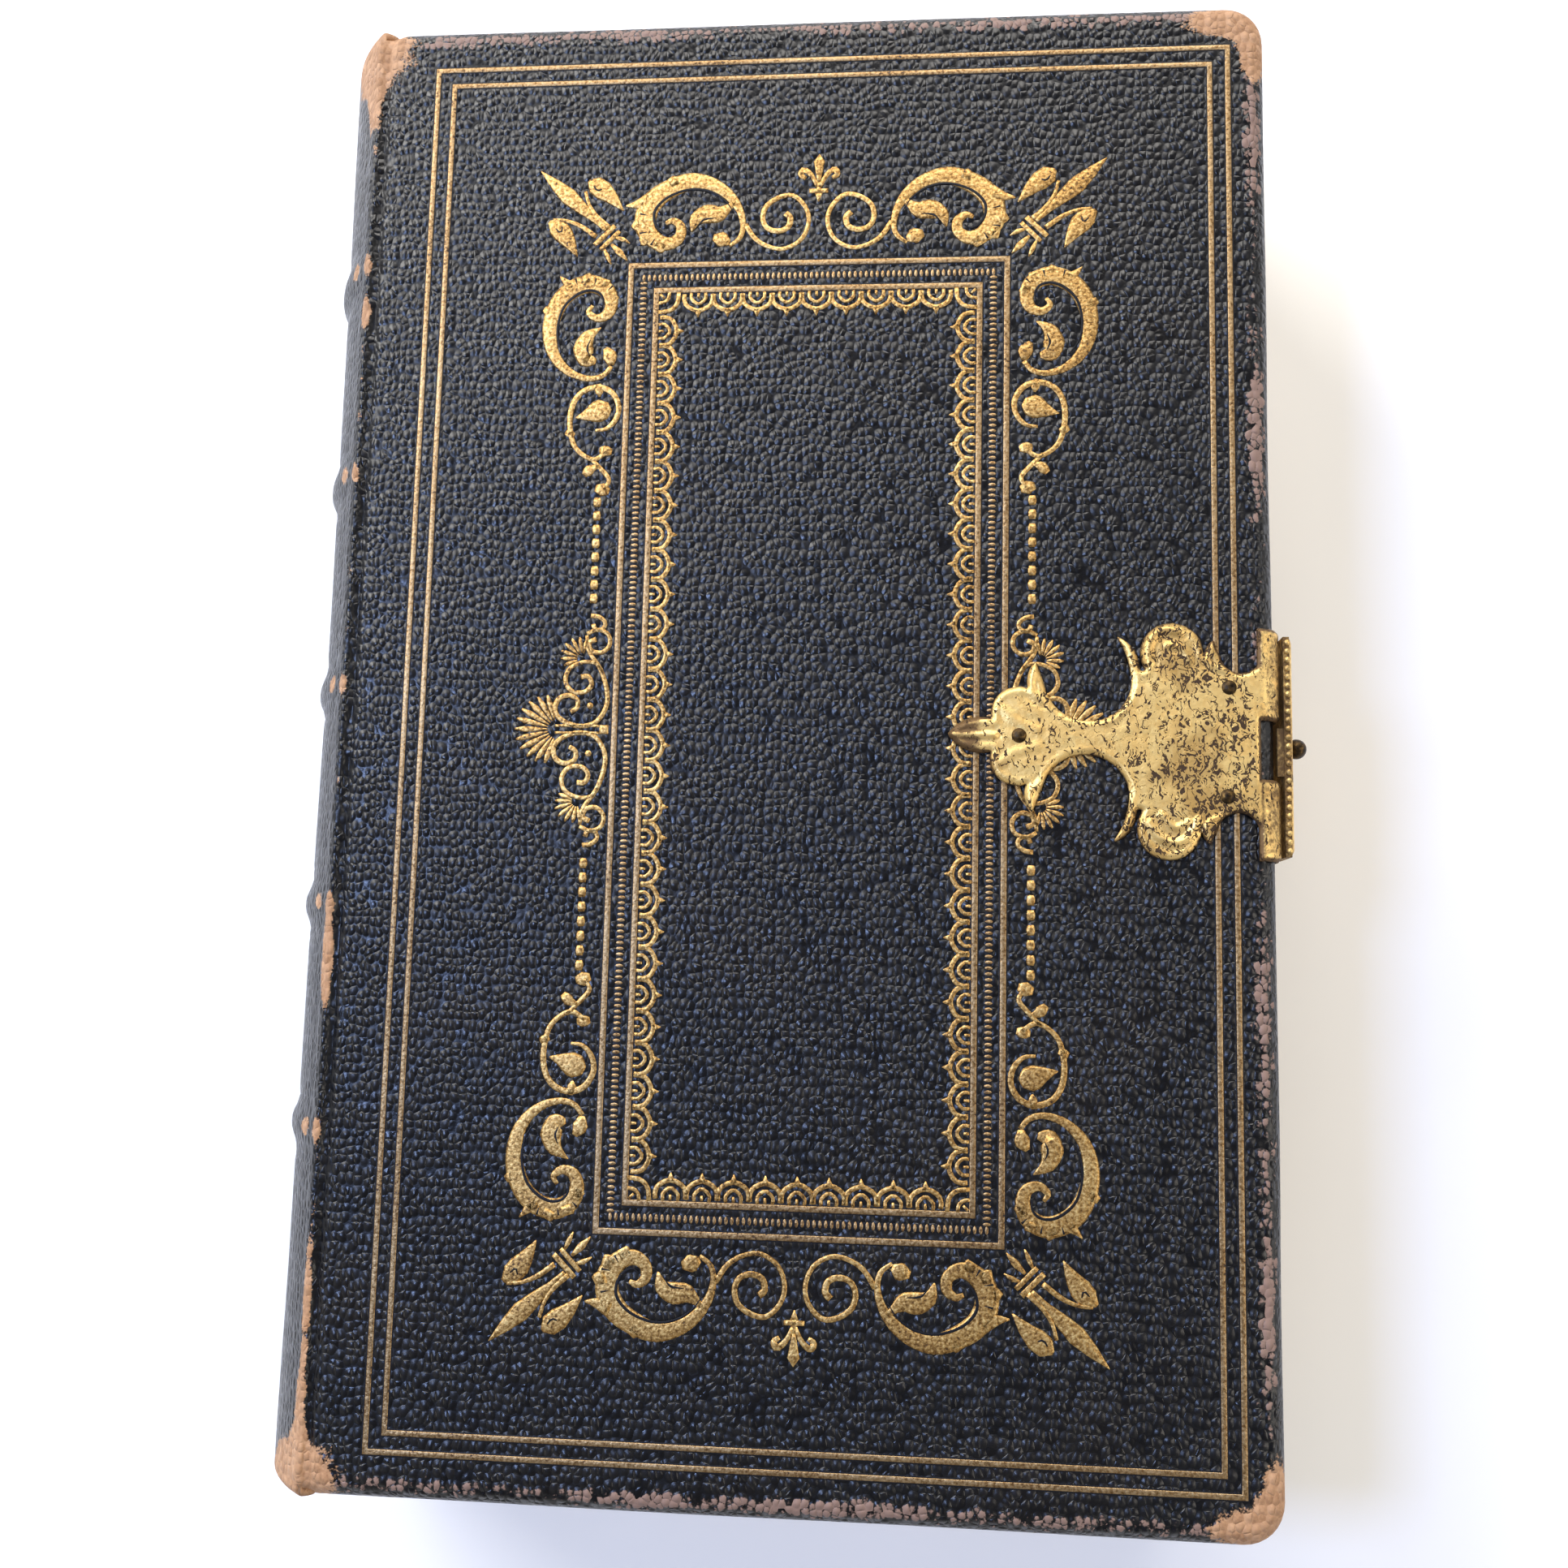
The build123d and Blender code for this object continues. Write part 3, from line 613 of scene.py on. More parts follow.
def sewn_silk():
    """Silk of the head and tail bands, wound in two colours: faded red and old white.

    Threads a third of a millimetre thick with a soft sheen. The thread attribute counts the turns.
    """
    material, tree, place = new_material("two_colour_silk")
    turn = add(tree, "Attribute", {"attribute_name": "thread"}, {}).outputs["Fac"]
    group = add(tree, "Math", {"operation": "PINGPONG"}, {0: turn, 1: 3.0})
    which = add(tree, "MapRange", {}, {0: group, 1: 1.35, 2: 1.65})
    fine = add(tree, "TexNoise", {}, {"Vector": place, "Scale": 3000.0, "Detail": 2.0})
    red = add(tree, "Mix", TINTS, {"Factor": fine, 6: linear("#5A1F22"), 7: linear("#8C3B38")})
    white = add(tree, "Mix", TINTS, {"Factor": fine, 6: linear("#A8946C"), 7: linear("#D8C7A0")})
    colour = add(tree, "Mix", TINTS, {"Factor": which, 6: red, 7: white})
    inputs = {"Base Color": colour, "Roughness": 0.55, "Sheen Weight": 0.3, "Sheen Roughness": 0.4}
    finish_surface(tree, inputs, fine, 0.00004)
    return material


def studio_floor():
    """Matt white card with a painted glow, emitted though it is no lamp: faint near the book, where it
    lightens the book's shadow, stronger away from the book so that the card stays pale, and less so far off,
    where it meets the grey of the horizon."""
    material, tree, place = new_material("white_card_painted_glow")
    fine = add(tree, "TexNoise", {}, {"Vector": place, "Scale": 30.0, "Detail": 2.0})
    colour = add(tree, "Mix", TINTS, {"Factor": fine, 6: linear("#F1F1F0"), 7: linear("#F6F6F6")})
    away = add(tree, "VectorMath", {"operation": "LENGTH"}, {0: place}).outputs["Value"]
    # painted glow: emission that lightens the card and the book's shadow, weakest near the book
    glow = add(tree, "MapRange", SOFTLY, {0: away, 1: 0.7, 2: 2.6, 3: 0.08, 4: 0.85})
    far = add(tree, "MapRange", SOFTLY, {0: away, 1: 3.0, 2: 8.0, 3: 1.0, 4: 0.6})
    glow = add(tree, "Math", TIMES, {0: glow, 1: far})
    card = {"Base Color": colour, "Roughness": 0.9, "Specular IOR Level": 0.2}
    card |= {"Emission Color": linear("#F9F8F6"), "Emission Strength": glow}
    finish_surface(tree, card, fine, 0.00001)
    return material


finishes = {}


def finish(name):
    """The finish of that name, made the first time it is asked for."""
    if name not in finishes:
        book = bpy.context.scene.antique_book
        sizes, colours = book.sizes, book.colours
        makers = {
            "morocco": lambda: morocco(sizes, colours),
            "pressed": pressed_leather_and_shade,
            "gold": lambda: gold_leaf("gold_leaf", colours, False),
            "rubbed_gold": lambda: gold_leaf("rubbed_gold_leaf", colours, True),
            "brass": lambda: gilt_brass("pitted_gilt_brass", colours, False),
            "old_brass": lambda: gilt_brass("tarnished_gilt_brass", colours, True),
            "pin_brass": dark_brass,
            "paper": lambda: aged_paper("rag_endpaper", shade(colours.paper), linear("#C6B286")),
            "edges": lambda: aged_paper("leaf_edges", shade(colours.edge_paper), linear("#A98F62"), True),
            "lining": lambda: aged_paper("brown_lining_paper", linear("#8B7048"), linear("#6E5737")),
            "board": millboard,
            "cord": twisted_cord,
            "silk": sewn_silk,
        }
        finishes[name] = makers[name]()
    return finishes[name]


# ------------------------------------------------------------------ leather
def cover_dip(x, y):
    """How far a cover's face lies below its highest plane: slow waves of an old board."""
    wave = bpy.context.scene.antique_book.sizes.cover_wave
    return wave * (1.05 - waves(x, y, 4, 75.0))


# worn spots, as (how much, centre, reach along each axis), with the height counted from the book's middle
WORN_SPOTS = [
    (1.15, (-73, 111.5, 22.5), (8, 6, 10)), (0.75, (-72.5, 103, 23.5), (2.2, 6, 3)),
    (1.2, (-73, -112.5, 22.5), (8.5, 5, 10)), (0.6, (-72.0, -103, 24), (1.6, 6, 3)),
    (1.2, (65.5, 112.3, 24.8), (7, 2.9, 5)), (1.15, (69, 107.5, 24.8), (2.4, 6.0, 5)),
    (1.15, (66.5, -112.6, 24.6), (6.6, 2.9, 5)), (1.1, (69.6, -109, 24.6), (2.6, 6.2, 5)),
]
for band in BAND_YS:
    WORN_SPOTS += [
        (0.95, (-74.6, band, 21.6), (1.5, 1.7, 2.2)), (0.8, (-71.6, band - 0.3, 24.4), (1.0, 1.6, 1.6)),
        (0.35, (-82.5, band, 0), (3, 1.6, 16)),
    ]
WORN_SPOTS += [
    (0.95, (-71.7, -37, 24), (1.2, 6, 2.2)), (0.75, (-71.4, 66.5, 24), (1.0, 3, 2)),
    (0.7, (-71.5, -88, 24), (0.9, 9, 2.2)),
]


def leather_wear(points):
    """Wear and scuff at points on the binding's skin, each from 0 to 1. The wear is a sum of soft spots at
    the corners, joints and band ends; the scuff grows towards the outer edges, more in some stretches."""
    x, y, z = points.T
    mirrored = points.copy()
    mirrored[:, 2] = np.abs(z - MID_Z)
    wear = sum(much * spot(mirrored, centre, reach) for much, centre, reach in WORN_SPOTS)
    ridge = spot(np.stack([x, mirrored[:, 2]], 1), JOINT_RIDGE, (0.85, 1.4))
    wear += ridge * (0.26 + 0.3 * waves(y, 0 * y, 9, 17.0) + 0.22 * waves(y, 0 * y, 12, 5.0))
    from_edge = np.minimum(front_high[0] - x, front_high[1] - np.abs(y))
    high = smooth_step(mirrored[:, 2], 22.6, 24.2)
    edge = np.exp(-(((from_edge - 2.6) / 1.9) ** 2)) * high * (x > -70)
    at_head = smooth_step(np.abs(y), 108, 113)
    stretch = 0.62 + 0.38 * waves(x + y, x - y, 21, 42.0) + 0.12 * at_head
    scuff = edge * stretch + 0.22 * (1 - smooth_step(from_edge, 0, 9)) * (x > -70) * high
    caps = smooth_step(np.abs(y), 111, 115) * (x < -71)
    wear += 0.3 * caps
    scuff = (scuff + 0.25 * ridge + 0.5 * caps) * (1 - 0.9 * spot(points, (71, CLASP_Y, 25), (9, 14, 30)))
    return np.clip(wear, 0, 1), np.clip(scuff, 0, 1)


def morocco_piece(name, shape, body=None):
    """A piece of the binding's skin, with its wear and scuff at each point."""
    points, faces = shape
    wear, scuff = leather_wear(points)
    worn = {"wear": wear, "scuff": scuff}
    return new_piece(name, points, faces, finish("morocco"), body, worn, weld=True)


def cover_shell(outward, lift):
    """A cover as one closed skin. Outlines of the cover, drawn in by d, step from the middle of its outer
    face to the edge, round the edge by d = r(1 - sin t) at depth r(1 - cos t), down the side, and back in
    under it. The outer face waves; lift keeps the rear cover's waves off the table."""
    sizes = bpy.context.scene.antique_book.sizes
    half_x, half_y = front_high[0], front_high[1]
    deep = front_high[2] - front_low[2]
    r, turn = sizes.edge_round, np.linspace(0, np.pi / 2, 9)
    flat = np.concatenate([np.arange(half_x, 16, -3.0), np.arange(15, r + 0.4, -1.2)])
    lip = 0.5
    small = np.linspace(0, np.pi / 2, 4)
    back = np.array([1.2, 3.0, 6.0, 9.0, 20.0, 45.0, half_x])
    draw = np.concatenate([flat, r * (1 - np.sin(turn)), [0, 0], lip * (1 - np.cos(small)), back])
    depth = np.concatenate(
        [
            0 * flat, r * (1 - np.cos(turn)), [r + 0.6, deep - lip], deep - lip + lip * np.sin(small),
            0 * back + deep,
        ]
    )
    radii = (sizes.corner_round, sizes.joint_corner_round, sizes.joint_corner_round, sizes.corner_round)
    rings = rounded_outline(half_x, half_y, radii, draw)
    x, y = rings[..., 0], rings[..., 1]
    depth = np.broadcast_to(depth[:, None], x.shape).copy()
    outer = 1 - smooth_step(depth, 1.5, deep)
    sunk = (cover_dip(x, y) + lift) * outer
    # an old edge is never straight: the outline wanders in by up to a fifth of a millimetre
    near = smooth_step(np.maximum(np.abs(x) / half_x, np.abs(y) / half_y), 0.9, 1.0)
    wander = 1 - 0.0022 * near * (1 + waves(x, y, 31, 48.0))
    face = front_high[2] if outward > 0 else rear_low[2]
    z = face - outward * (depth + sunk)
    points = np.stack([x * wander, y * (1 - (1 - wander) * 0.6), z], -1)
    faces = grid_faces(*x.shape, close_columns=True)
    return points.reshape(-1, 3), faces if outward > 0 else faces[:, ::-1]


def back_lift(y, turn):
    """How far the back's leather stands off its plain arc: bands h exp(-(|y|/2.3)^3), strongest at the
    crown and fading to the joints, a blind line pressed beside each, and a waist between the head and the
    tail."""
    sizes = bpy.context.scene.antique_book.sizes
    offset, crown_radius = 4.49, 31.54
    crown = offset * np.cos(turn) + np.sqrt(crown_radius**2 - (offset * np.sin(turn)) ** 2) - BACK_RADIUS
    strength = 0.16 + 0.84 * np.clip(crown / 1.5, 0, 1) ** 2
    away = np.abs(y[..., None] - np.array(BAND_YS)).min(-1)
    band = sizes.band_height * np.exp(-((away / 2.35) ** 3)) * strength
    near, far = 4.1, 5.3  # the two blind lines, from the band's middle
    line = -0.16 * np.exp(-(((away - near) / 0.45) ** 2)) - 0.1 * np.exp(-(((away - far) / 0.4) ** 2))
    waist = 0.25 - 0.65 * np.exp(-(((y - 30) / 60) ** 2)) + 0.45 * smooth_step(-y, 80, 112)
    age = 0.12 * waves(y, turn * 34, 15, 40.0) - 0.12
    return band + line + (waist + age) * np.cos(turn * 1.9).clip(0, 1)


def spine_skin():
    """The back's leather: a loop of (y, distance off the arc) goes up the outside over the bands, over
    the head cap, down the inside and under the tail cap, and is carried round the arc from joint to
    joint."""
    end = spine_high[1]
    out_y = np.arange(-end + 1.3, end - 1.2, 0.85)
    turn = np.linspace(0, 1, 7)[1:]
    cap_y = np.concatenate(
        [
            end - 1.3 + 1.2 * np.sin(turn * np.pi / 2),
            [end - 0.05, end - 0.12, end - 0.5, end - 0.95, end - 1.15, end - 1.2],
        ]
    )
    cap_off = np.concatenate([-1.25 * (1 - np.cos(turn * np.pi / 2)), [-2.0, -2.8, -3.35, -3.3, -2.6, -0.95]])
    in_y = np.linspace(end - 6, -end + 6, 30)
    loop_y = np.concatenate([out_y, cap_y, in_y, -cap_y[::-1]])
    thickness = 0.9
    loop_off = np.concatenate([0 * out_y, cap_off, 0 * in_y - thickness, cap_off[::-1]])
    outside = np.concatenate(
        [0 * out_y + 1, np.linspace(1, 0.2, len(cap_y)), 0 * in_y, np.linspace(0.2, 1, len(cap_y))]
    )
    round_back = np.linspace(-BACK_ANGLE, BACK_ANGLE, 64)
    y, turn = np.meshgrid(loop_y, round_back, indexing="ij")
    lifted = back_lift(y, turn) * outside[:, None] + loop_off[:, None]
    radius = BACK_RADIUS + lifted
    points = np.stack([BACK_CENTRE - radius * np.cos(turn), y, MID_Z + radius * np.sin(turn)], -1)
    rows, columns = y.shape
    faces = grid_faces(rows, columns, close_rows=True).tolist()
    faces += [[i * columns for i in range(rows)], [i * columns + columns - 1 for i in range(rows)][::-1]]
    return points.reshape(-1, 3), faces


def through(points, steps):
    """A smooth curve through a few points: on each span, the Catmull-Rom cubic, sampled at even steps."""
    p = np.asarray(points, float)
    p = np.concatenate([2 * p[:1] - p[1:2], p, 2 * p[-1:] - p[-2:-1]])
    t = np.linspace(0, len(p) - 3, steps)
    i = np.minimum(t.astype(int), len(p) - 4)
    t = (t - i)[:, None]
    a, b, c, d = p[i], p[i + 1], p[i + 2], p[i + 3]
    return 0.5 * (2 * b + (c - a) * t + (2 * a - 5 * b + 4 * c - d) * t**2 + (3 * b - a - 3 * c + d) * t**3)


# the section of a joint's upper side, as (x, height)
JOINT_LINE = (
    (-73.7, 46.7), (-72.9, 48.0), (-72.1, 49.05), (-71.5, 49.62), (-70.9, 49.66), (-70.3, 49.36),
    (-69.7, 49.22), (-69.0, 49.45), (-68.2, 49.62), (-67.4, 49.5), (-66.6, 49.2),
)


def joint_skin(outward):
    """The leather over a joint: a line from under the back's edge over the worn ridge, down into the
    groove and under the cover's face, of one thickness, carried along the joint. Its ends sink by a circle's
    arc."""
    outer = through(JOINT_LINE, 34)
    inner = outer[::-1] - [0, JOINT_THICKNESS]
    section = np.concatenate([outer, inner])
    end, straight_end, end_radius = 115.2, 112.4, 3
    y = np.linspace(-end, end, 190)
    past = np.clip(np.abs(y) - straight_end, 0, end - straight_end)
    sink = end_radius - np.sqrt(end_radius**2 - past**2)
    y, x = np.meshgrid(y, section[:, 0], indexing="ij")
    z = section[:, 1][None] - sink[:, None]
    ridge = np.exp(-(((x + 71.2) / 1.0) ** 2))
    bands = np.exp(-((np.abs(y[..., None] - np.array(BAND_YS)).min(-1) / 2.2) ** 3))
    z = z + ridge * (0.09 * waves(y, x, 41, 16.0) + 0.22 * bands - 0.08)
    below_cover = 0.05
    z = np.minimum(z, front_high[2] - below_cover)
    if outward < 0:
        z = 2 * MID_Z - z
    return closed_tube(np.stack([x, y, z], -1))


class ANTIQUEBOOK_OT_covers(bpy.types.Operator):
    """Make the two covers' leather, with rounded edges, waves and wear"""

    bl_idname = "antique_book.covers"
    bl_label = "Covers"

    def execute(self, context):
        for side, outward, lift in (("front", 1, 0.0), ("rear", -1, REAR_LIFT)):
            piece = morocco_piece(f"{side}_cover_morocco", cover_shell(outward, lift), f"{side}_cover")
            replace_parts(piece, f"{side}_leather")
        return {"FINISHED"}


class ANTIQUEBOOK_OT_back(bpy.types.Operator):
    """Make the leather of the rounded back, with its raised bands and caps"""

    bl_idname = "antique_book.back"
    bl_label = "Back and bands"

    def execute(self, context):
        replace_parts(morocco_piece("spine_morocco", spine_skin(), "book_block"), "spine_leather")
        return {"FINISHED"}


class ANTIQUEBOOK_OT_joints(bpy.types.Operator):
    """Make the leather that bends over each joint"""

    bl_idname = "antique_book.joints"
    bl_label = "Joints"

    def execute(self, context):
        for side, outward in (("front", 1), ("rear", -1)):
            piece = morocco_piece(f"{side}_joint_morocco", joint_skin(outward))
            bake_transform(piece)
        return {"FINISHED"}


# ------------------------------------------------------------------ leaves, papers and bands
def paper_sheet(low, high, thickness, face, seed):
    """A thin sheet of paper lying at a height: a grid that waves by a few hundredths of a millimetre."""
    across, along = np.linspace(low[0], high[0], 44), np.linspace(low[1], high[1], 72)
    x, y = np.meshgrid(across, along, indexing="ij")
    top = face + 0.02 * waves(x, y, seed, 40.0)
    upper = np.stack([x, y, top + thickness / 2], -1)
    lower = np.stack([x, y, top - thickness / 2], -1)
    rows, columns = x.shape
    count = rows * columns
    faces = grid_faces(rows, columns)
    rim = np.concatenate(
        [
            np.arange(columns), np.arange(1, rows) * columns + columns - 1,
            count - 2 - np.arange(columns - 1), np.arange(rows - 2, 0, -1) * columns,
        ]
    )
    ahead = np.roll(rim, -1)
    walls = np.stack([rim, ahead, ahead + count, rim + count], -1)
    points = np.concatenate([upper.reshape(-1, 3), lower.reshape(-1, 3)])
    return points, np.concatenate([faces, faces[:, ::-1] + count, walls])


def leaf_block():
    """The leaves: at each height, a loop round the fore edge, head, back and tail. The fore edge is a
    hollow arc and the back a round one. Each level is drawn in by its own small amount, as leaves never
    lie quite even, and a little more between two gatherings."""
    sizes = bpy.context.scene.antique_book.sizes
    low, high = leaves_low, leaves_high
    flat_low, flat_high = rear_high[2] + 0.5, front_low[2] - 0.5
    levels = np.linspace(flat_low, flat_high, sizes.leaf_levels)
    back_start = -71.4
    half = (flat_high - flat_low) / 2
    hollow = 5.0
    fore_radius = (half**2 + hollow**2) / (2 * hollow)
    fore = high[0] - np.sqrt(fore_radius**2 - (levels - MID_Z) ** 2) + fore_radius - hollow
    z = np.concatenate([[low[2], flat_low], levels, [flat_high, high[2]]])
    right = np.concatenate([[back_start, back_start], fore, [back_start, back_start]])
    left = BACK_CENTRE - np.sqrt((BACK_RADIUS - BACK_LAYERS) ** 2 - (z - MID_Z) ** 2)
    rng = np.random.default_rng(7)
    ragged = np.convolve(rng.uniform(0, 1, len(z) + 4), np.ones(3) / 3, "same")[2:-2]
    first_fold, gathering = 5.5, 2.6
    gathered = np.exp(-((((z - first_fold) % gathering) - gathering / 2) ** 2) / 0.02)
    drawn = 0.16 * (ragged + gathered)
    along_y = np.linspace(-1, 1, 90)
    across = np.linspace(0, 1, 70)
    z_grid = z[:, None]
    end = (high[1] - 0.6 * drawn)[:, None]
    bowed = 0.1 * (1 + waves(along_y[None] * 111, z_grid, 3, 55.0)) * (right[:, None] > 0)
    fore_x = right[:, None] - drawn[:, None] - bowed
    head_x = right[:, None] - drawn[:, None] + (left - right + drawn)[:, None] * across[None]
    fore_side = np.stack([fore_x, end * along_y[None], z_grid + 0 * fore_x], -1)
    head_side = np.stack([head_x, end + 0 * head_x, z_grid + 0 * head_x], -1)
    back_y = np.linspace(1, -1, 12)
    back_side = np.stack([left[:, None] + 0 * back_y, end * back_y[None], z_grid + 0 * back_y], -1)
    tail_side = head_side[:, ::-1] * [1, -1, 1]
    loops = np.concatenate([fore_side, head_side[:, 1:], back_side[:, 1:], tail_side[:, 1:-1]], 1)
    return closed_tube(loops)


def end_band(side):
    """A head or tail band: a round core along the back's arc, its radius swelling over each wound thread by
    |sin|, closed at both ends. Also gives the number of the thread at each point."""
    core = 1.3
    middle = side * (headband_low[1] + core)
    reach = BACK_RADIUS - BACK_LAYERS - core - 0.3
    limit = np.arcsin((headband_high[2] - headband_low[2]) / 2 / reach)
    threads = 92
    turn = np.linspace(-limit, limit, threads * 5 + 1)
    thread = np.linspace(0, threads, len(turn))
    swell = core * (0.9 + 0.1 * np.abs(np.sin(np.pi * thread)))
    section = np.linspace(0, 2 * np.pi, 17)[:-1]
    turn, section = np.meshgrid(turn, section, indexing="ij")
    radius = reach + swell[:, None] * np.cos(section)
    y = middle + swell[:, None] * np.sin(section)
    points = np.stack([BACK_CENTRE - radius * np.cos(turn), y, MID_Z + radius * np.sin(turn)], -1)
    return *closed_tube(points), np.repeat(thread, turn.shape[1])


class ANTIQUEBOOK_OT_leaves(bpy.types.Operator):
    """Make the leaves, the pastedowns and the head and tail bands"""

    bl_idname = "antique_book.leaves"
    bl_label = "Leaves and bands"

    def execute(self, context):
        points, faces = leaf_block()
        leaves = new_piece(
            "cut_leaves", points, faces, finish("edges"), body="book_block", weld=True, smooth=False
        )
        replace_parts(leaves, "text_block")
        proud, spare, thickness = 0.03, 1.2, 0.1
        for side, face, seed in (("front", front_low[2] - proud, 5), ("rear", rear_high[2] + proud, 6)):
            low, high = paste_low - spare, paste_high + spare
            points, faces = paper_sheet(low, high, thickness, face, seed)
            sheet = new_piece(
                f"{side}_pastedown_paper", points, faces, finish("paper"), body=f"{side}_cover",
                weld=True,
            )
            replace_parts(sheet, f"{side}_pastedown")
        for name, side in (("headband", 1), ("tailband", -1)):
            points, faces, thread = end_band(side)
            band = new_piece(
                f"{name}_silk", points, faces, finish("silk"), body="book_block",
                attributes={"thread": thread}, weld=True,
            )
            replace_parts(band, name)
        return {"FINISHED"}


# ------------------------------------------------------------------ gold tooling
# heights across a line of gold, as shares of the tooling height: its feet are sunk in the leather
HUMP = np.array([-0.5, 1.0, 1.0, -0.5])


def gather(parts):
    """Several meshes of quads only, each (points, quads), as one."""
    counts = np.cumsum([0] + [len(points) for points, _ in parts[:-1]])
    points = np.concatenate([points for points, _ in parts])
    return points, np.concatenate([quads + start for (_, quads), start in zip(parts, counts)])


def stroke(points, widths, height=1.0, steps=None):
    """One stroke of a finishing tool in the plane: a smooth line through a few points, whose width
    follows the widths given evenly along it. Its section is a low flat-topped hump with four corners. The
    third number of each point is the height as a share of the tooling height."""
    points = np.asarray(points, float)
    length = np.linalg.norm(np.diff(points, axis=0), axis=1).sum()
    steps = steps or int(np.clip(length / 0.45, 4, 60))
    line = through(points, steps)
    ahead = np.gradient(line, axis=0)
    ahead /= np.linalg.norm(ahead, axis=1, keepdims=True) + 1e-9
    aside = ahead[:, ::-1] * [-1, 1]
    half = np.interp(np.linspace(0, 1, steps), np.linspace(0, 1, len(widths)), widths) / 2
    offsets = np.array([-1.0, -0.72, 0.72, 1.0])
    humps = HUMP * height
    flat = line[:, None] + aside[:, None] * (half[:, None] * offsets)[..., None]
    flat = np.concatenate([flat, np.broadcast_to(humps[None, :, None], (steps, 4, 1))], -1)
    quads = grid_faces(steps, 4, close_columns=True)
    last = (steps - 1) * 4
    caps = np.array([[3, 2, 1, 0], [last, last + 1, last + 2, last + 3]])
    return flat.reshape(-1, 3), np.concatenate([quads, caps])


def dot(centre, radius):
    """A round dot: eight points below, eight drawn in above, both closed with quads."""
    turn = np.arange(8) * np.pi / 4
    ring = np.stack([np.cos(turn), np.sin(turn)], -1)
    low = np.concatenate([centre + ring * radius, np.full((8, 1), -0.5)], 1)
    top = np.concatenate([centre + ring * radius * 0.8, np.full((8, 1), 1.0)], 1)
    lid = np.array([[0, 1, 2, 3], [0, 3, 4, 7], [4, 5, 6, 7]])
    walls = grid_faces(2, 8, close_columns=True)[:, ::-1]
    return np.concatenate([low, top]), np.concatenate([walls, lid + 8, lid[:, ::-1]])


def fan(base, radius, facing, spread, petals, width):
    """A palmette: petals from one base, evenly turned over the spread about the way it faces, the middle
    longest."""
    turns = facing + np.linspace(-spread, spread, petals)
    parts = []
    for turn, share in zip(turns, np.linspace(-1, 1, petals)):
        way = np.array([np.cos(turn), np.sin(turn)])
        reach = radius * (1 - 0.16 * share**2)
        line = [base + way * radius * 0.22, base + way * reach * 0.65, base + way * reach]
        parts.append(stroke(line, (0.2, width * 0.75, width, width * 0.35)))
    return parts


def many_dots(centres, radius, stretch=1.0):
    """The same dot at many places, each stretched along x and y."""
    points, quads = dot(np.zeros(2), radius)
    placed = np.repeat(points[None], len(centres), 0)
    stretch = np.broadcast_to(stretch, centres.shape)
    placed[..., :2] = placed[..., :2] * stretch[:, None] + centres[:, None]
    return placed.reshape(-1, 3), repeated(quads, len(centres), len(points))


def mirrored(part, middle, axis):
    """A mesh and its mirror image across a middle line. The image's faces are turned so they still face
    out."""
    points, quads = part
    image = points.copy()
    image[:, axis] = 2 * middle[axis] - image[:, axis]
    return gather([part, (image, quads[:, ::-1])])


def four_ways(part):
    """A mesh of one quarter, mirrored across both middle lines of the tooling."""
    return mirrored(mirrored(part, TOOLING_MID, 0), TOOLING_MID, 1)


def repeated(quads, count, size):
    """The quads of count copies of a mesh of size points, each numbered on from the one before."""
    return (quads[None] + (np.arange(count) * size)[:, None, None]).reshape(-1, 4)


def line_frame(half_x, half_y, width, middle):
    """A straight gold line round a rectangle, mitred at its corners."""
    draws = np.array([-0.5, -0.32, 0.32, 0.5]) * width
    rings = rounded_outline(half_x + width, half_y + width, (0,) * 4, draws + width, pitch=2.5, arc_steps=1)
    heights = HUMP[:, None] * np.ones(rings.shape[:2])
    points = np.concatenate([rings + middle, heights[..., None]], -1)
    return points.reshape(-1, 3), grid_faces(*rings.shape[:2], close_rows=True, close_columns=True)


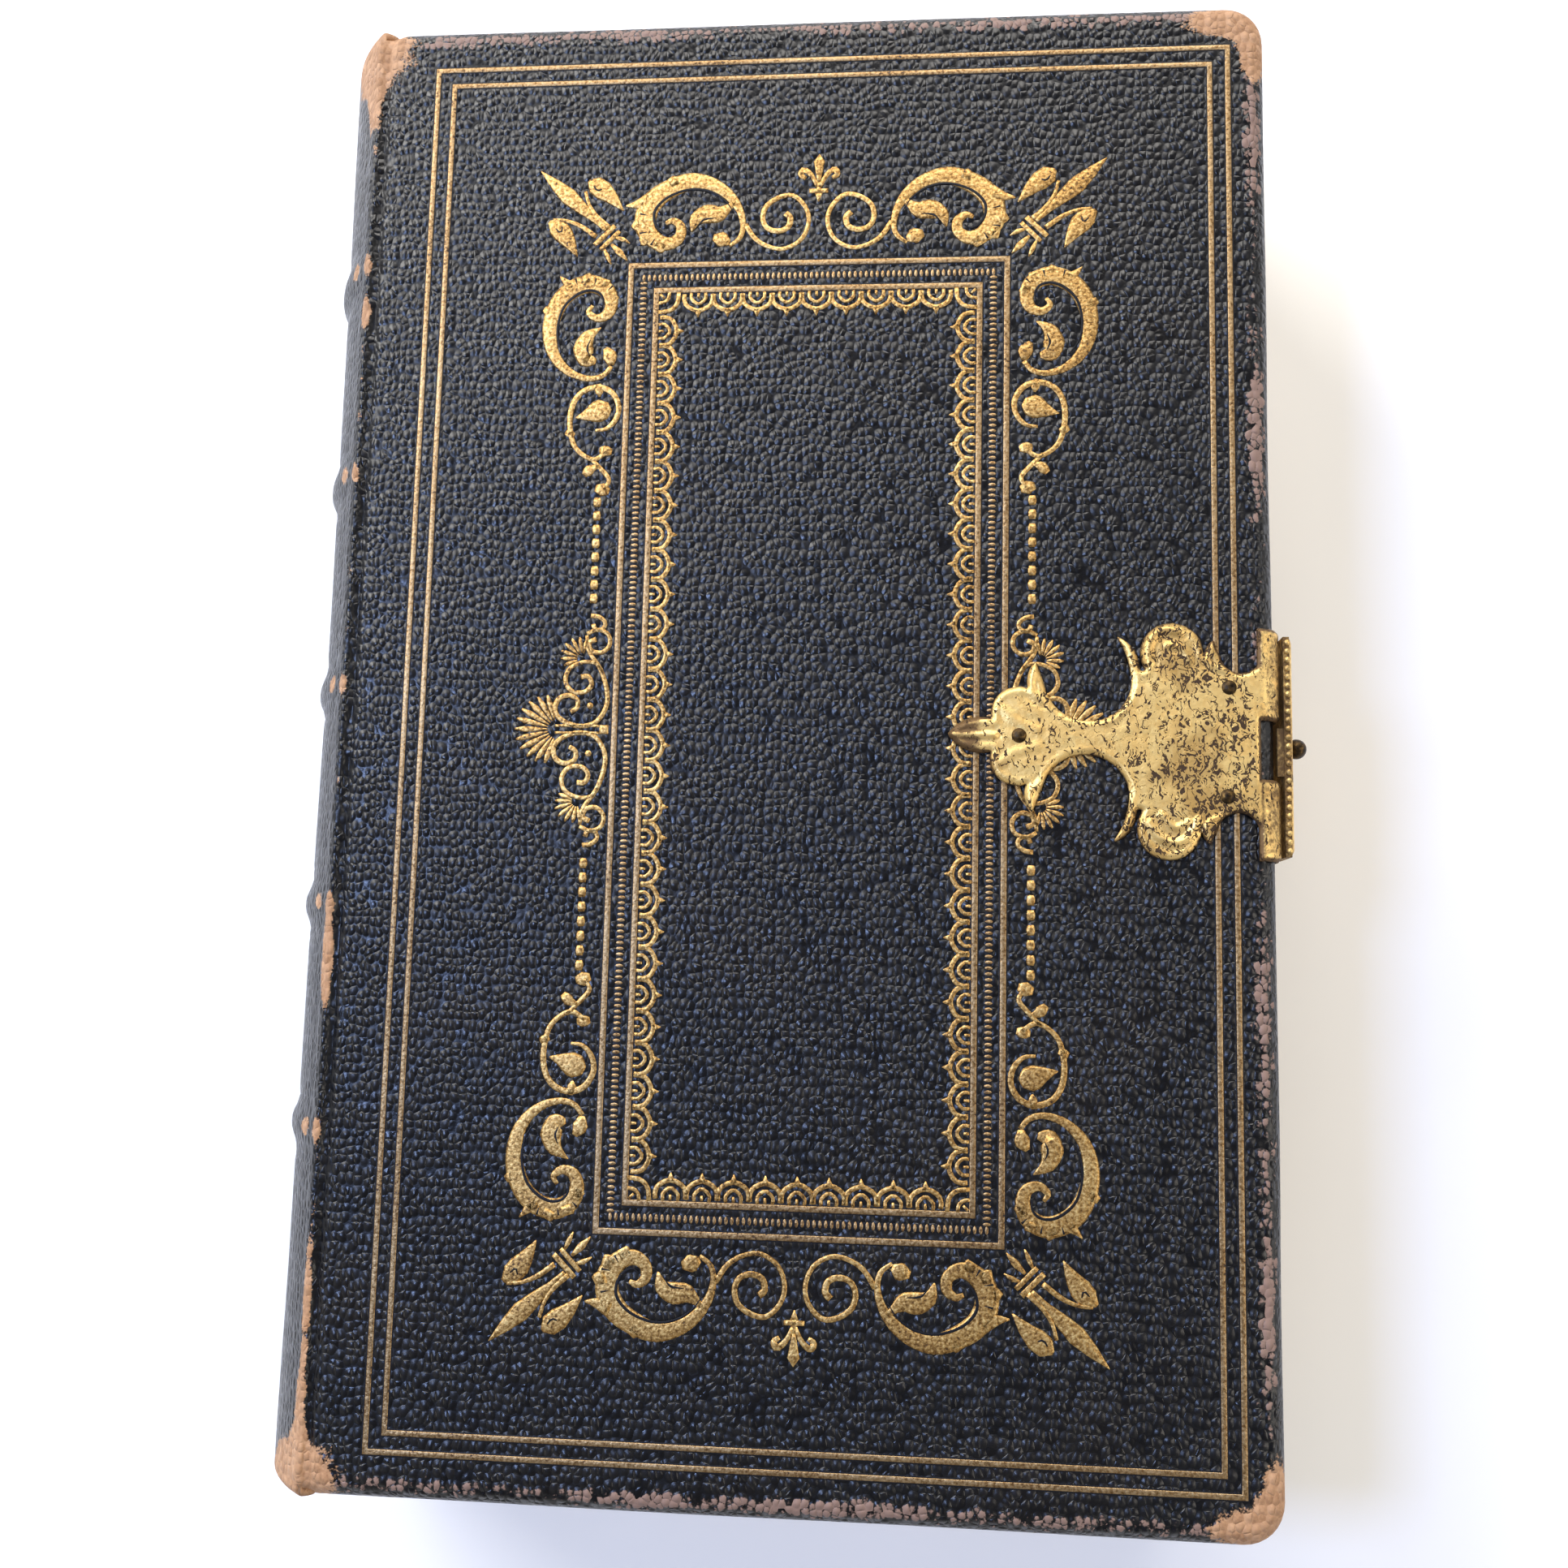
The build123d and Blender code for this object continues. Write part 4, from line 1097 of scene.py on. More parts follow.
# strokes of the scrolls and corner flowers, as (points, widths), in the quarter at the head and the joint
QUARTER_STROKES = (
    # corner flower: middle petal, two side petals on stems, two ties and three small leaves
    (((-45.3, 90.2), (-41.5, 86.6), (-37.8, 83.2), (-34.4, 80)), (0.15, 1.9, 3.0, 2.2, 1.0, 0.6)),
    (((-37.4, 88.4), (-36, 87.4), (-33.8, 85.6), (-31.6, 83.2)), (0.7, 3.2, 3.4, 2.0, 0.2)),
    (((-37.9, 86.6), (-37.2, 84.3), (-35.8, 82.2), (-33.8, 80.4)), (0.6, 0.6, 0.8, 0.9)),
    (((-43.6, 81.6), (-42, 80.3), (-40.3, 78.2), (-38.8, 75.6)), (0.7, 3.2, 3.4, 2.0, 0.2)),
    (((-43, 81.9), (-40.8, 81.7), (-38.4, 80.7), (-35.9, 78.9)), (0.6, 0.6, 0.8, 0.9)),
    (((-36.1, 77.5), (-32.9, 80.7)), (0.9, 0.9)),
    (((-35.1, 76.7), (-32.1, 79.8)), (0.8, 0.8)),
    (((-33.4, 77.6), (-32, 76.2), (-30.7, 74.8)), (0.5, 1.3, 0.2)),
    (((-32.7, 78.7), (-31.6, 78.4), (-30.4, 77.7)), (0.4, 0.9, 0.2)),
    (((-34.5, 76.8), (-33.9, 75.5), (-33.3, 74.2)), (0.4, 0.9, 0.2)),
    # head scroll: one long leaf curling from its eye round to the bud, the inner leaf, and the running spiral
    (
        ((-24.7, 80.9), (-23.5, 81.3), (-22.3, 80.3), (-22.4, 78.6), (-24, 77.5), (-26.2, 78.0),
         (-27.8, 79.9), (-27.9, 82.6),
         (-26.5, 85.1), (-23.8, 86.9), (-20.6, 87.9), (-17.3, 87.2), (-14.6, 85.3), (-12.9, 82.8),
         (-12.3, 80.2), (-12.8, 78.2), (-14.4, 76.9)),
        (0.7, 1.2, 1.7, 1.9, 2.3, 2.9, 3.5, 3.7, 3.7, 3.4, 3.0, 2.4, 1.9, 1.3, 0.95, 0.85, 0.6),
    ),
    (((-31.2, 84.0), (-29.4, 84.2), (-27.4, 85.0)), (0.3, 1.6, 2.6)),
    (((-29.9, 81.2), (-29.2, 80.8), (-28.2, 80.4)), (1.7, 2.4, 2.4)),
    (((-28.8, 78.1), (-28.1, 78.3), (-27.2, 78.8)), (1.8, 2.5, 2.4)),
    (((-26.0, 76.3), (-25.7, 76.8), (-25.2, 77.6)), (1.8, 2.4, 2.2)),
    (((-24.2, 88.6), (-23.8, 88.1), (-23.4, 87.2)), (1.2, 2.0, 2.2)),
    (((-20.5, 79.4), (-19.9, 81.4), (-18.2, 82.3), (-16.3, 82.3), (-14.9, 83.2), (-13.6, 84.4)),
     (0.3, 2.3, 3.4, 3.0, 1.5, 0.5)),
    (((-17.0, 78.4), (-15.6, 78.0), (-14.4, 77.4)), (1.2, 3.0, 1.0)),
    (
        ((-12, 80.5), (-10.3, 78), (-8, 76.6), (-5.5, 76.3), (-3, 77.8), (-1.9, 80.5), (-2.4, 83), (-4.3, 85),
         (-6.5, 84.9), (-8.6, 83.5), (-9.2, 81.5), (-8.5, 79.8), (-6.8, 79.2), (-5.2, 79.8),
         (-4.8, 81.3), (-5.6, 82.2)),
        (0.9, 0.75, 0.75, 0.8, 0.9, 0.9, 1.0, 1.1),
    ),
    # side scroll: the same leaf turned, its inner leaf and bud
    (
        ((-36.0, 67.4), (-36.6, 66.3), (-35.3, 65.3), (-33.6, 65.9), (-33.0, 67.8), (-33.9, 69.9),
         (-36.2, 71.0), (-38.9, 70.4),
         (-41.0, 68.6), (-42.3, 65.9), (-42.7, 62.9), (-42.2, 60), (-40.8, 57.7), (-38.6, 56.0),
         (-36, 55.3), (-33.9, 55.8), (-32.6, 57.3)),
        (0.6, 1.0, 1.4, 1.9, 2.3, 2.9, 3.2, 3.3, 3.2, 3.0, 2.6, 2.1, 1.7, 1.3, 1.0, 0.9, 0.8),
    ),
    (((-41.5, 72.4), (-40.3, 71.2), (-38.9, 70.2)), (0.15, 1.4, 2.2)),
    (((-37.5, 72.5), (-37.2, 71.9), (-36.9, 71.2)), (1.8, 2.4, 2.2)),
    (((-34.1, 71.8), (-34.3, 71.2), (-34.6, 70.4)), (1.8, 2.4, 2.2)),
    (((-32.2, 69.3), (-32.7, 69.0), (-33.4, 68.6)), (1.7, 2.3, 2.2)),
    (((-43.8, 67.0), (-43.1, 66.6), (-42.2, 66.4)), (1.1, 1.8, 2.0)),
    (((-34.5, 63.7), (-36.5, 62.3), (-37.2, 60.3), (-36.6, 58.5), (-35.1, 58.2)), (0.2, 2.3, 3.5, 2.9, 1.0)),
    (((-33.7, 60.3), (-32.9, 59.0), (-32.7, 57.4)), (0.9, 2.7, 1.0)),
    # ring with a heart-shaped leaf, then the stem down to the dashes
    (
        ((-34.8, 46.8), (-33, 47.1), (-31.6, 48.6), (-31.2, 50.8), (-32.4, 53), (-34.6, 53.9),
         (-37, 53.2), (-38.4, 51.4),
         (-38.9, 49), (-38.7, 46.5), (-38.1, 44.5), (-36.8, 43), (-34.8, 42.1), (-32.8, 43.3)),
        (0.5, 0.9, 1.0, 1.0, 1.0, 0.9, 0.8, 0.8),
    ),
    (((-38.0, 48.9), (-36.3, 49.3), (-34.8, 49.8), (-33.6, 50.3), (-32.6, 50.8)), (0.2, 2.0, 3.8, 3.7, 1.4)),
    (((-34.6, 54.4), (-34.4, 53.3), (-34.3, 52.3)), (0.9, 1.8, 0.3)),
    (((-34.0, 43.6), (-33, 43.5), (-32, 43.3)), (1.0, 2.1, 1.0)),
    (((-39.5, 46.6), (-38.8, 46.3), (-38.1, 46.0)), (0.9, 1.5, 0.9)),
    (((-35.6, 42.5), (-33.7, 40.6), (-32.3, 38.8), (-33.1, 37.2)), (0.6, 0.8, 0.8, 0.6)),
    (((-34.4, 37.5), (-33.3, 37.2), (-32.2, 36.9)), (1.2, 2.3, 1.2)),
    (((-33.9, 41.0), (-35.2, 40.6), (-36.3, 39.5)), (0.5, 1.1, 2.0, 1.0)),
    # side centre: curl, spiral, the long stem and its inner spiral
    (((-34.3, 17.1), (-33, 16.9), (-32, 16), (-32.4, 15), (-33.5, 14.9), (-33.9, 15.8)), (0.8, 0.7, 0.8)),
    (((-34.8, 14.2), (-33.2, 14.9), (-31.5, 14.2), (-31.2, 12.5), (-32.4, 11.3), (-34, 11.6),
     (-34.4, 12.8), (-33.3, 13.4)), (0.7, 0.75, 0.9)),
    (
        ((-34.8, 14), (-34.4, 11.5), (-32.4, 8.5), (-31.3, 5), (-31.5, 2.5), (-33, 0.4), (-35.5, -0.2),
         (-38, 0.6),
         (-39.3, 2), (-39, 3.8), (-37.5, 4.6), (-36, 4), (-35.9, 2.7), (-36.9, 2)),
        (0.6, 0.8, 0.8, 0.8, 0.9, 0.8, 0.8),
    ),
    (
        ((-32.2, 8.3), (-33.2, 9.6), (-35.2, 9.8), (-37.3, 8.8), (-37.9, 6.8), (-36.8, 5.2),
         (-34.9, 5.1), (-33.8, 6.2), (-34.3, 7.5), (-35.5, 7.5)),
        (0.6, 0.7, 0.8, 0.8, 0.9),
    ),
)

# dark veins cut across the larger leaves, in the same quarter
QUARTER_VEINS = (
    (((-36.6, 87.5), (-36.0, 86.7), (-35.2, 86.9)), (0.2, 0.4, 0.2)),
    (((-42.5, 80.4), (-41.7, 79.7), (-41.4, 80.6)), (0.2, 0.4, 0.2)),
    (
        (
            (-23.3, 79.7), (-24.4, 79.1), (-25.8, 79.9), (-26.6, 81.6), (-26.3, 83.5), (-24.3, 85.4),
            (-21.0, 86.5), (-17.8, 86.1), (-15.3, 84.5), (-13.8, 82.4),
        ),
        (0.15, 0.42, 0.48, 0.42, 0.36, 0.1),
    ),
    (((-19.5, 80.4), (-18.5, 81.4), (-16.6, 81.6)), (0.1, 0.4, 0.1)),
    (((-28.9, 79.3), (-27.6, 79.5)), (0.35, 0.1)), (((-27.0, 77.3), (-26.4, 78.3)), (0.35, 0.1)),
    (((-28.9, 82.6), (-27.7, 82.3)), (0.35, 0.1)),
    (
        (
            (-34.5, 66.9), (-34.3, 68.4), (-35.2, 69.6), (-36.9, 69.9), (-38.8, 69.1), (-40.5, 67.4),
            (-41.3, 65.2), (-41.5, 62.8), (-40.9, 60.3), (-39.4, 58.3),
        ),
        (0.15, 0.42, 0.48, 0.42, 0.36, 0.1),
    ),
    (((-35.6, 71.9), (-35.8, 70.9)), (0.35, 0.1)), (((-32.9, 70.6), (-33.6, 69.9)), (0.35, 0.1)),
    (((-38.9, 71.9), (-38.6, 70.9)), (0.35, 0.1)),
    (((-36.1, 61.7), (-36.6, 60.3), (-36.1, 59.0)), (0.1, 0.4, 0.1)),
)

# the bud and curls at the middle of the head, about the tooling's middle line
HEAD_STROKES = (
    (((0, 91.9), (0, 90.0), (0, 87.2)), (0.15, 1.9, 1.3, 0.5)), (((0, 87.4), (0, 85.4)), (0.7, 0.8)),
    (((-1.5, 85.8), (1.5, 85.8)), (0.8, 0.8)), (((0, 85.4), (0, 84.0)), (1.3, 0.2)),
    (((0.2, 86.4), (1.1, 88.3), (2.4, 89.4), (2.9, 88.5), (2.1, 87.9)), (0.6, 0.9, 1.1, 0.7)),
    (((-0.2, 86.4), (-1.1, 88.3), (-2.4, 89.4), (-2.9, 88.5), (-2.1, 87.9)), (0.6, 0.9, 1.1, 0.7)),
)


def quarter_parts(strokes, height=1.0):
    """Strokes of one quarter, repeated by mirroring across both middle lines of the tooling."""
    one = gather([stroke(np.array(points) + FILLET_MID, widths, height) for points, widths in strokes])
    return four_ways(one)


def scrolls():
    """All the scrolls, flowers, fans and dashes round the panel."""
    parts = [quarter_parts(QUARTER_STROKES)]
    dashes = [
        stroke([(-34, y + 0.75), (-34, y - 0.75)] + FILLET_MID, (1.0, 1.5, 1.0))
        for y in np.arange(35.2, 18.4, -2.2)
    ]
    small = fan(np.array([-35.4, 10.4]) + FILLET_MID, 3.6, np.radians(140), np.radians(62), 7, 0.75)
    ball = [dot(np.array([-33.9, 3.0]) + FILLET_MID, 0.55)]
    sided = gather(dashes + small + ball)
    parts.append(four_ways(sided))
    middle = fan(np.array([-38.9, -0.7]) + FILLET_MID, 6.6, np.pi, np.radians(72), 11, 1.0)
    for y in (-1.25, -0.15):
        middle.append(stroke([(-39.2, y), (-32.4, y)] + FILLET_MID, (0.45, 0.45)))
    middle.append(stroke([(-32.3, -0.7), (-30.9, -0.7)] + FILLET_MID, (1.5, 1.5)))
    parts.append(mirrored(gather(middle), TOOLING_MID, 0))
    head = [
        stroke(np.array(points) + [TOOLING_MID[0], FILLET_MID[1]], widths) for points, widths in HEAD_STROKES
    ]
    parts.append(mirrored(gather(head), TOOLING_MID, 1))
    return gather(parts)


def lace(half_x, half_y, middle):
    """The lace inside the panel's lines: pointed arches with a smaller arch and a slot in each, side by
    side along every side, and a quarter arch in each corner. A side holds a whole number of arches."""
    sizes = bpy.context.scene.antique_book.sizes
    arch = [
        stroke(
            ((-2.2, 0.5), (-2.25, 1.4), (-1.75, 2.5), (0, 3.25), (1.75, 2.5), (2.25, 1.4), (2.2, 0.5)),
            (0.75, 0.75, 0.8, 0.75, 0.75), steps=15,
        ),
        stroke(((0, 3.1), (0, 4.35)), (1.35, 0.15), steps=3),
        stroke(
            ((-1.1, 0.3), (-1.1, 1.3), (0, 2.15), (1.1, 1.3), (1.1, 0.3)), (0.55, 0.6, 0.6, 0.55), steps=10
        ),
        stroke(((0, 0.35), (0, 1.15)), (0.5, 0.4), steps=3),
    ]
    unit, quads = gather(arch)
    parts = []
    corner, drawn_width = 4.4, 4.65
    for turn in range(4):
        along, inset = (half_x, half_y) if turn % 2 == 0 else (half_y, half_x)
        count = int(round(2 * (along - corner) / sizes.lace_pitch))
        pitch = 2 * (along - corner) / count
        places = (np.arange(count) - (count - 1) / 2) * pitch
        t = unit[None, :, 0] * pitch / drawn_width + places[:, None]
        inward = inset - 0.2 - unit[None, :, 1] + 0 * t
        angle = turn * np.pi / 2
        x = -t * np.cos(angle) - inward * np.sin(angle)
        y = -t * np.sin(angle) + inward * np.cos(angle)
        points = np.stack([x + middle[0], y + middle[1], unit[None, :, 2] + 0 * t], -1)
        parts.append((points.reshape(-1, 3), repeated(quads, count, len(unit))))
        turned = rotation(angle)
        at = turned @ [along, inset]
        for reach, width in ((3.6, 0.75), (2.1, 0.6)):
            curve = [(-reach, -0.3), (-reach * 0.93, -reach * 0.62)]
            curve = np.array(curve + [(b, a) for a, b in curve[::-1]])
            parts.append(stroke(curve @ turned.T + at + middle, (width, width), steps=8))
        tip = np.array([(-0.6, -0.6), (-1.3, -1.3)])
        parts.append(stroke(tip @ turned.T + at + middle, (0.5, 0.4), steps=3))
    return gather(parts)


def beads_round(half_x, half_y, pitch, middle):
    """Places of beads evenly round a rectangle."""
    nx, ny = int(2 * half_x / pitch), int(2 * half_y / pitch)
    x, y = np.linspace(-half_x, half_x, nx + 1), np.linspace(-half_y, half_y, ny + 1)
    top = np.stack([x, 0 * x + half_y], -1)
    side = np.stack([0 * y[1:-1] + half_x, y[1:-1]], -1)
    return np.concatenate([top, -top, side, -side]) + middle


def laid_on_cover(part, bed=0.0, outward=1):
    """Lays tooling on a cover's face: a point's height becomes the face's own height there plus the
    tooling."""
    points, quads = part
    book = bpy.context.scene.antique_book
    x, y, share = points.T
    rise = LEAF_LIFT + bed + share * book.sizes.tooling_height
    if outward > 0:
        z = front_high[2] - cover_dip(x, y) + rise
        return np.stack([x, y, z], -1), quads
    z = rear_low[2] + cover_dip(x, y) + REAR_LIFT - rise
    return np.stack([x, y, z], -1), quads[:, ::-1]


class ANTIQUEBOOK_OT_fillets(bpy.types.Operator):
    """Tool the double gold line round each cover, with the pressed leather beside it, dark partly as painted
    shade
    """

    bl_idname = "antique_book.fillets"
    bl_label = "Gold fillets"

    def execute(self, context):
        sizes = context.scene.antique_book.sizes
        for side, outward in (("front", 1), ("rear", -1)):
            for label, wider, material, slot, bed in (
                ("fillets", 0.0, "rubbed_gold", "gilt_brass", 0.0),
                # the bed is pressed leather, dark partly as painted shade of the impression beside the lines
                ("fillet_bed", 0.7, "pressed", "dark_morocco", BED_DROP),
            ):
                width = sizes.fillet_width + wider
                halves = (FILLET_HALF, FILLET_HALF - sizes.fillet_gap)
                lines = gather([line_frame(*half, width, FILLET_MID) for half in halves])
                points, quads = laid_on_cover(lines, bed, outward)
                new_piece(
                    f"{side}_{label}", points, quads, finish(material), f"{side}_cover", weld=True
                )
        return {"FINISHED"}


class ANTIQUEBOOK_OT_panel(bpy.types.Operator):
    """Tool the middle panel: two plain lines, a beaded one between them, and the lace inside"""

    bl_idname = "antique_book.panel"
    bl_label = "Gold panel and lace"

    def execute(self, context):
        sizes = context.scene.antique_book.sizes
        halves = (PANEL_HALF, LACE_HALF)
        rule, bed_width = sizes.fillet_width + 0.1, sizes.fillet_width + 0.8
        lines = [line_frame(*half, rule, TOOLING_MID) for half in halves]
        places = beads_round(*BEADS_HALF, sizes.bead_pitch, TOOLING_MID)
        # a bead is a short bar across its line
        level = np.abs(places[:, 1:] - TOOLING_MID[1]) > BEADS_HALF[1] - 0.1
        thin, long = 0.58, 1.3
        beads = many_dots(places, 0.5, np.where(level, (thin, long), (long, thin)))
        beds = [line_frame(*half, bed_width, TOOLING_MID) for half in halves]
        beds.append(line_frame(*BEADS_HALF, 1.5, TOOLING_MID))
        for label, part, material, bed in (
            ("panel_lines", gather([*lines, beads]), "rubbed_gold", 0.0),
            # the beds are pressed leather, dark partly as painted shade of the impression beside the lines
            ("panel_bed", gather(beds), "pressed", BED_DROP),
            ("panel_lace", lace(*LACE_HALF, TOOLING_MID), "gold", 0.0),
        ):
            points, quads = laid_on_cover(part, bed)
            new_piece(label, points, quads, finish(material), body="front_cover", weld=True)
        return {"FINISHED"}


class ANTIQUEBOOK_OT_scrolls(bpy.types.Operator):
    """Tool the scrolls, corner flowers, fans and dashes round the panel, and cut their veins"""

    bl_idname = "antique_book.scrolls"
    bl_label = "Gold scrolls"

    def execute(self, context):
        points, quads = laid_on_cover(scrolls())
        new_piece("gold_scrolls", points, quads, finish("gold"), body="front_cover", weld=True)
        points, quads = laid_on_cover(quarter_parts(QUARTER_VEINS, 0.3), VEIN_LIFT)
        new_piece(
            "scroll_veins", points, quads, finish("pressed"), body="front_cover", weld=True
        )
        return {"FINISHED"}


# ------------------------------------------------------------------ clasp
def arc_through(start, middle, end, count=14):
    """Points along the circle's arc through three points, without its last point."""
    a, b, c = (np.asarray(p, float) for p in (start, middle, end))
    d = 2 * (a[0] * (b[1] - c[1]) + b[0] * (c[1] - a[1]) + c[0] * (a[1] - b[1]))
    sq = np.array([a @ a, b @ b, c @ c])
    centre = np.array(
        [sq @ [b[1] - c[1], c[1] - a[1], a[1] - b[1]], sq @ [c[0] - b[0], a[0] - c[0], b[0] - a[0]]]
    ) / d
    turns = [np.arctan2(*(p - centre)[::-1]) for p in (a, b, c)]
    way = 1 if (turns[1] - turns[0]) % (2 * np.pi) < (turns[2] - turns[0]) % (2 * np.pi) else -1
    sweep = (turns[2] - turns[0]) % (2 * np.pi) if way > 0 else -((turns[0] - turns[2]) % (2 * np.pi))
    turn = turns[0] + np.linspace(0, sweep, count + 1)[:-1]
    return centre + np.linalg.norm(a - centre) * np.stack([np.cos(turn), np.sin(turn)], -1)


def line_distance(points, line):
    """Distance from each point to a line of straight pieces."""
    start, run = line[:-1], np.diff(line, axis=0)
    best = np.full(len(points), np.inf)
    for a, r in zip(start, run):
        t = np.clip(((points - a) @ r) / max(r @ r, 1e-12), 0, 1)
        best = np.minimum(best, np.linalg.norm(points - a - t[:, None] * r, axis=1))
    return best


def outline_depth(points, corners):
    """Distance from each point to a closed outline, above 0 inside it and below 0 outside."""
    loop = np.concatenate([corners, corners[:1]])
    (x, y), (x0, y0), (x1, y1) = points.T[:, :, None], loop[:-1].T, loop[1:].T
    crosses = ((y0 > y) != (y1 > y)) & (x < (x1 - x0) * (y - y0) / np.where(y1 == y0, 1e-12, y1 - y0) + x0)
    inside = crosses.sum(1) % 2 == 1
    return np.where(inside, 1, -1) * line_distance(points, loop)


def relief_sheet(low, high, pitch, depth_at, height_at, place):
    """A stamped sheet as a closed mesh. Over a grid, the cells whose middle has a depth above 0 are kept,
    and points at the kept edge slide along the depth's slope onto the outline. The upper side stands at
    height_at, the lower side at 0, and place turns (a, b, height) into the book's frame. Also gives the
    relief as drawn."""
    a, b = np.meshgrid(
        np.arange(low[0], high[0] + pitch, pitch), np.arange(low[1], high[1] + pitch, pitch), indexing="ij"
    )
    rows, columns = a.shape
    flat = np.stack([a.ravel(), b.ravel()], -1)
    quads = grid_faces(rows, columns)
    quads = quads[depth_at(flat[quads].mean(1)) > 0]
    edges = np.concatenate([quads[:, [k, (k + 1) % 4]] for k in range(4)])
    total = rows * columns
    rim = edges[~np.isin(edges[:, 0] * total + edges[:, 1], edges[:, 1] * total + edges[:, 0])]
    at_rim = np.unique(rim)
    step = 0.02
    for _ in range(3):
        here = flat[at_rim]
        depth = depth_at(here)
        slope = np.stack([depth_at(here + [step, 0]) - depth, depth_at(here + [0, step]) - depth], -1) / step
        slope /= np.linalg.norm(slope, axis=1, keepdims=True) + 1e-6
        move = np.clip(depth, -pitch, pitch)[:, None] * slope
        flat[at_rim] = here - move
    used, quads = np.unique(quads, return_inverse=True)
    quads = quads.reshape(-1, 4)
    number = np.full(total, -1)
    number[used] = np.arange(len(used))
    rim = number[rim]
    flat = flat[used]
    height, drawn, pits = height_at(flat, depth_at(flat))
    upper = place(flat[:, 0], flat[:, 1], height)
    lower = place(flat[:, 0], flat[:, 1], 0 * height)
    count = len(flat)
    walls = np.stack([rim[:, 1], rim[:, 0], rim[:, 0] + count, rim[:, 1] + count], -1)
    points = np.concatenate([upper, lower])
    return points, np.concatenate([quads, quads[:, ::-1] + count, walls]), np.tile(drawn, 2), np.tile(pits, 2)


# half of the front plate's outline, from its tip to its bar: arcs through three points each
PLATE_HALF = (
    ((-48.4, 0), (-46.2, 2.0), (-41.9, 2.5)), ((-41.9, 2.5), (-41.4, 5.6), (-38.4, 7.4)),
    ((-38.4, 7.4), (-37.4, 7.5), (-36.6, 7.2)), ((-36.6, 7.2), (-36.7, 9.4), (-35.6, 11.4)),
    ((-35.6, 11.4), (-34.7, 9.2), (-34.0, 7.0)), ((-34.0, 7.0), (-27.8, 2.5), (-21.4, 8.0)),
    ((-21.4, 8.0), (-21.9, 11.6), (-23.8, 15.5)), ((-23.8, 15.5), (-21.2, 13.6), (-20.3, 10.7)),
    ((-20.3, 10.7), (-19.9, 10.4), (-19.5, 10.6)), ((-19.5, 10.6), (-15.2, 17.75), (-11.0, 12.8)),
    ((-11.0, 12.8), (-10.5, 14.3), (-9.5, 15.4)), ((-9.5, 15.4), (-9.2, 14.2), (-8.6, 13.0)),
    ((-8.6, 13.0), (-5.4, 10.4), (-2.5, 13.8)),
)


def plate_outline():
    """The front plate's outline in the book's frame: arcs of one half and their mirror image, leaned as
    nailed."""
    half = np.concatenate([arc_through(*three) for three in PLATE_HALF])
    half = np.concatenate([half, [(-2.5, 13.8), (-2.0, 13.8), (-2.0, 0.0)]])
    whole = np.concatenate([half, half[::-1][1:-1] * [1, -1]])
    return whole @ rotation(CLASP_LEAN).T + [front_high[0], CLASP_Y]


# raised ridges of the front plate, as (line, height, half width)
PLATE_RIDGES = (
    (((47.4, 12.3), (49.3, 9.4), (49.0, 5.6), (46.4, 2.2)), 0.34, 0.5),
    (((47.2, -16.4), (49.2, -13.8), (49.1, -10), (46.6, -6.7)), 0.34, 0.5),
    (((37.2, 4.6), (40.2, 1.7), (43.4, 0.75), (46.2, 1.7)), 0.22, 0.4),
    (((37.0, -9.2), (40.2, -6.2), (43.3, -5.4), (46.2, -6.3)), 0.22, 0.4),
    (((35.3, 8.4), (34.9, 5.5), (36.6, 3.8)), 0.3, 0.5),
    (((35.2, -12.8), (34.9, -10.1), (36.6, -8.4)), 0.3, 0.5),
    (((52.3, 9.6), (52.4, 12.6), (54.2, 14.6), (56.9, 14.4)), 0.34, 0.55),
    (((55.0, 12.3), (57.0, 11.8), (58.3, 9.9)), 0.26, 0.4),
    (((59.4, 12.0), (60.9, 9.6), (64.0, 8.2)), 0.24, 0.4),
    (((52.2, -14.2), (53.4, -16.2), (55.9, -17.2), (58.0, -16.2), (59.3, -13.8)), 0.36, 0.5),
    (((54.0, -13.0), (55.9, -14.9), (58.0, -14.0)), 0.3, 0.4),
    (((59.6, -16.0), (61.1, -13.9), (64.2, -12.8)), 0.24, 0.4),
    (((23.6, -1.35), (26.4, -1.4), (29.6, -1.45)), 0.3, 0.4),
    (((30.6, 2.6), (33.0, 0.6), (36.0, -0.6)), 0.12, 0.6),
    (((30.4, -5.6), (33.0, -3.9), (36.0, -2.9)), 0.12, 0.6),
)


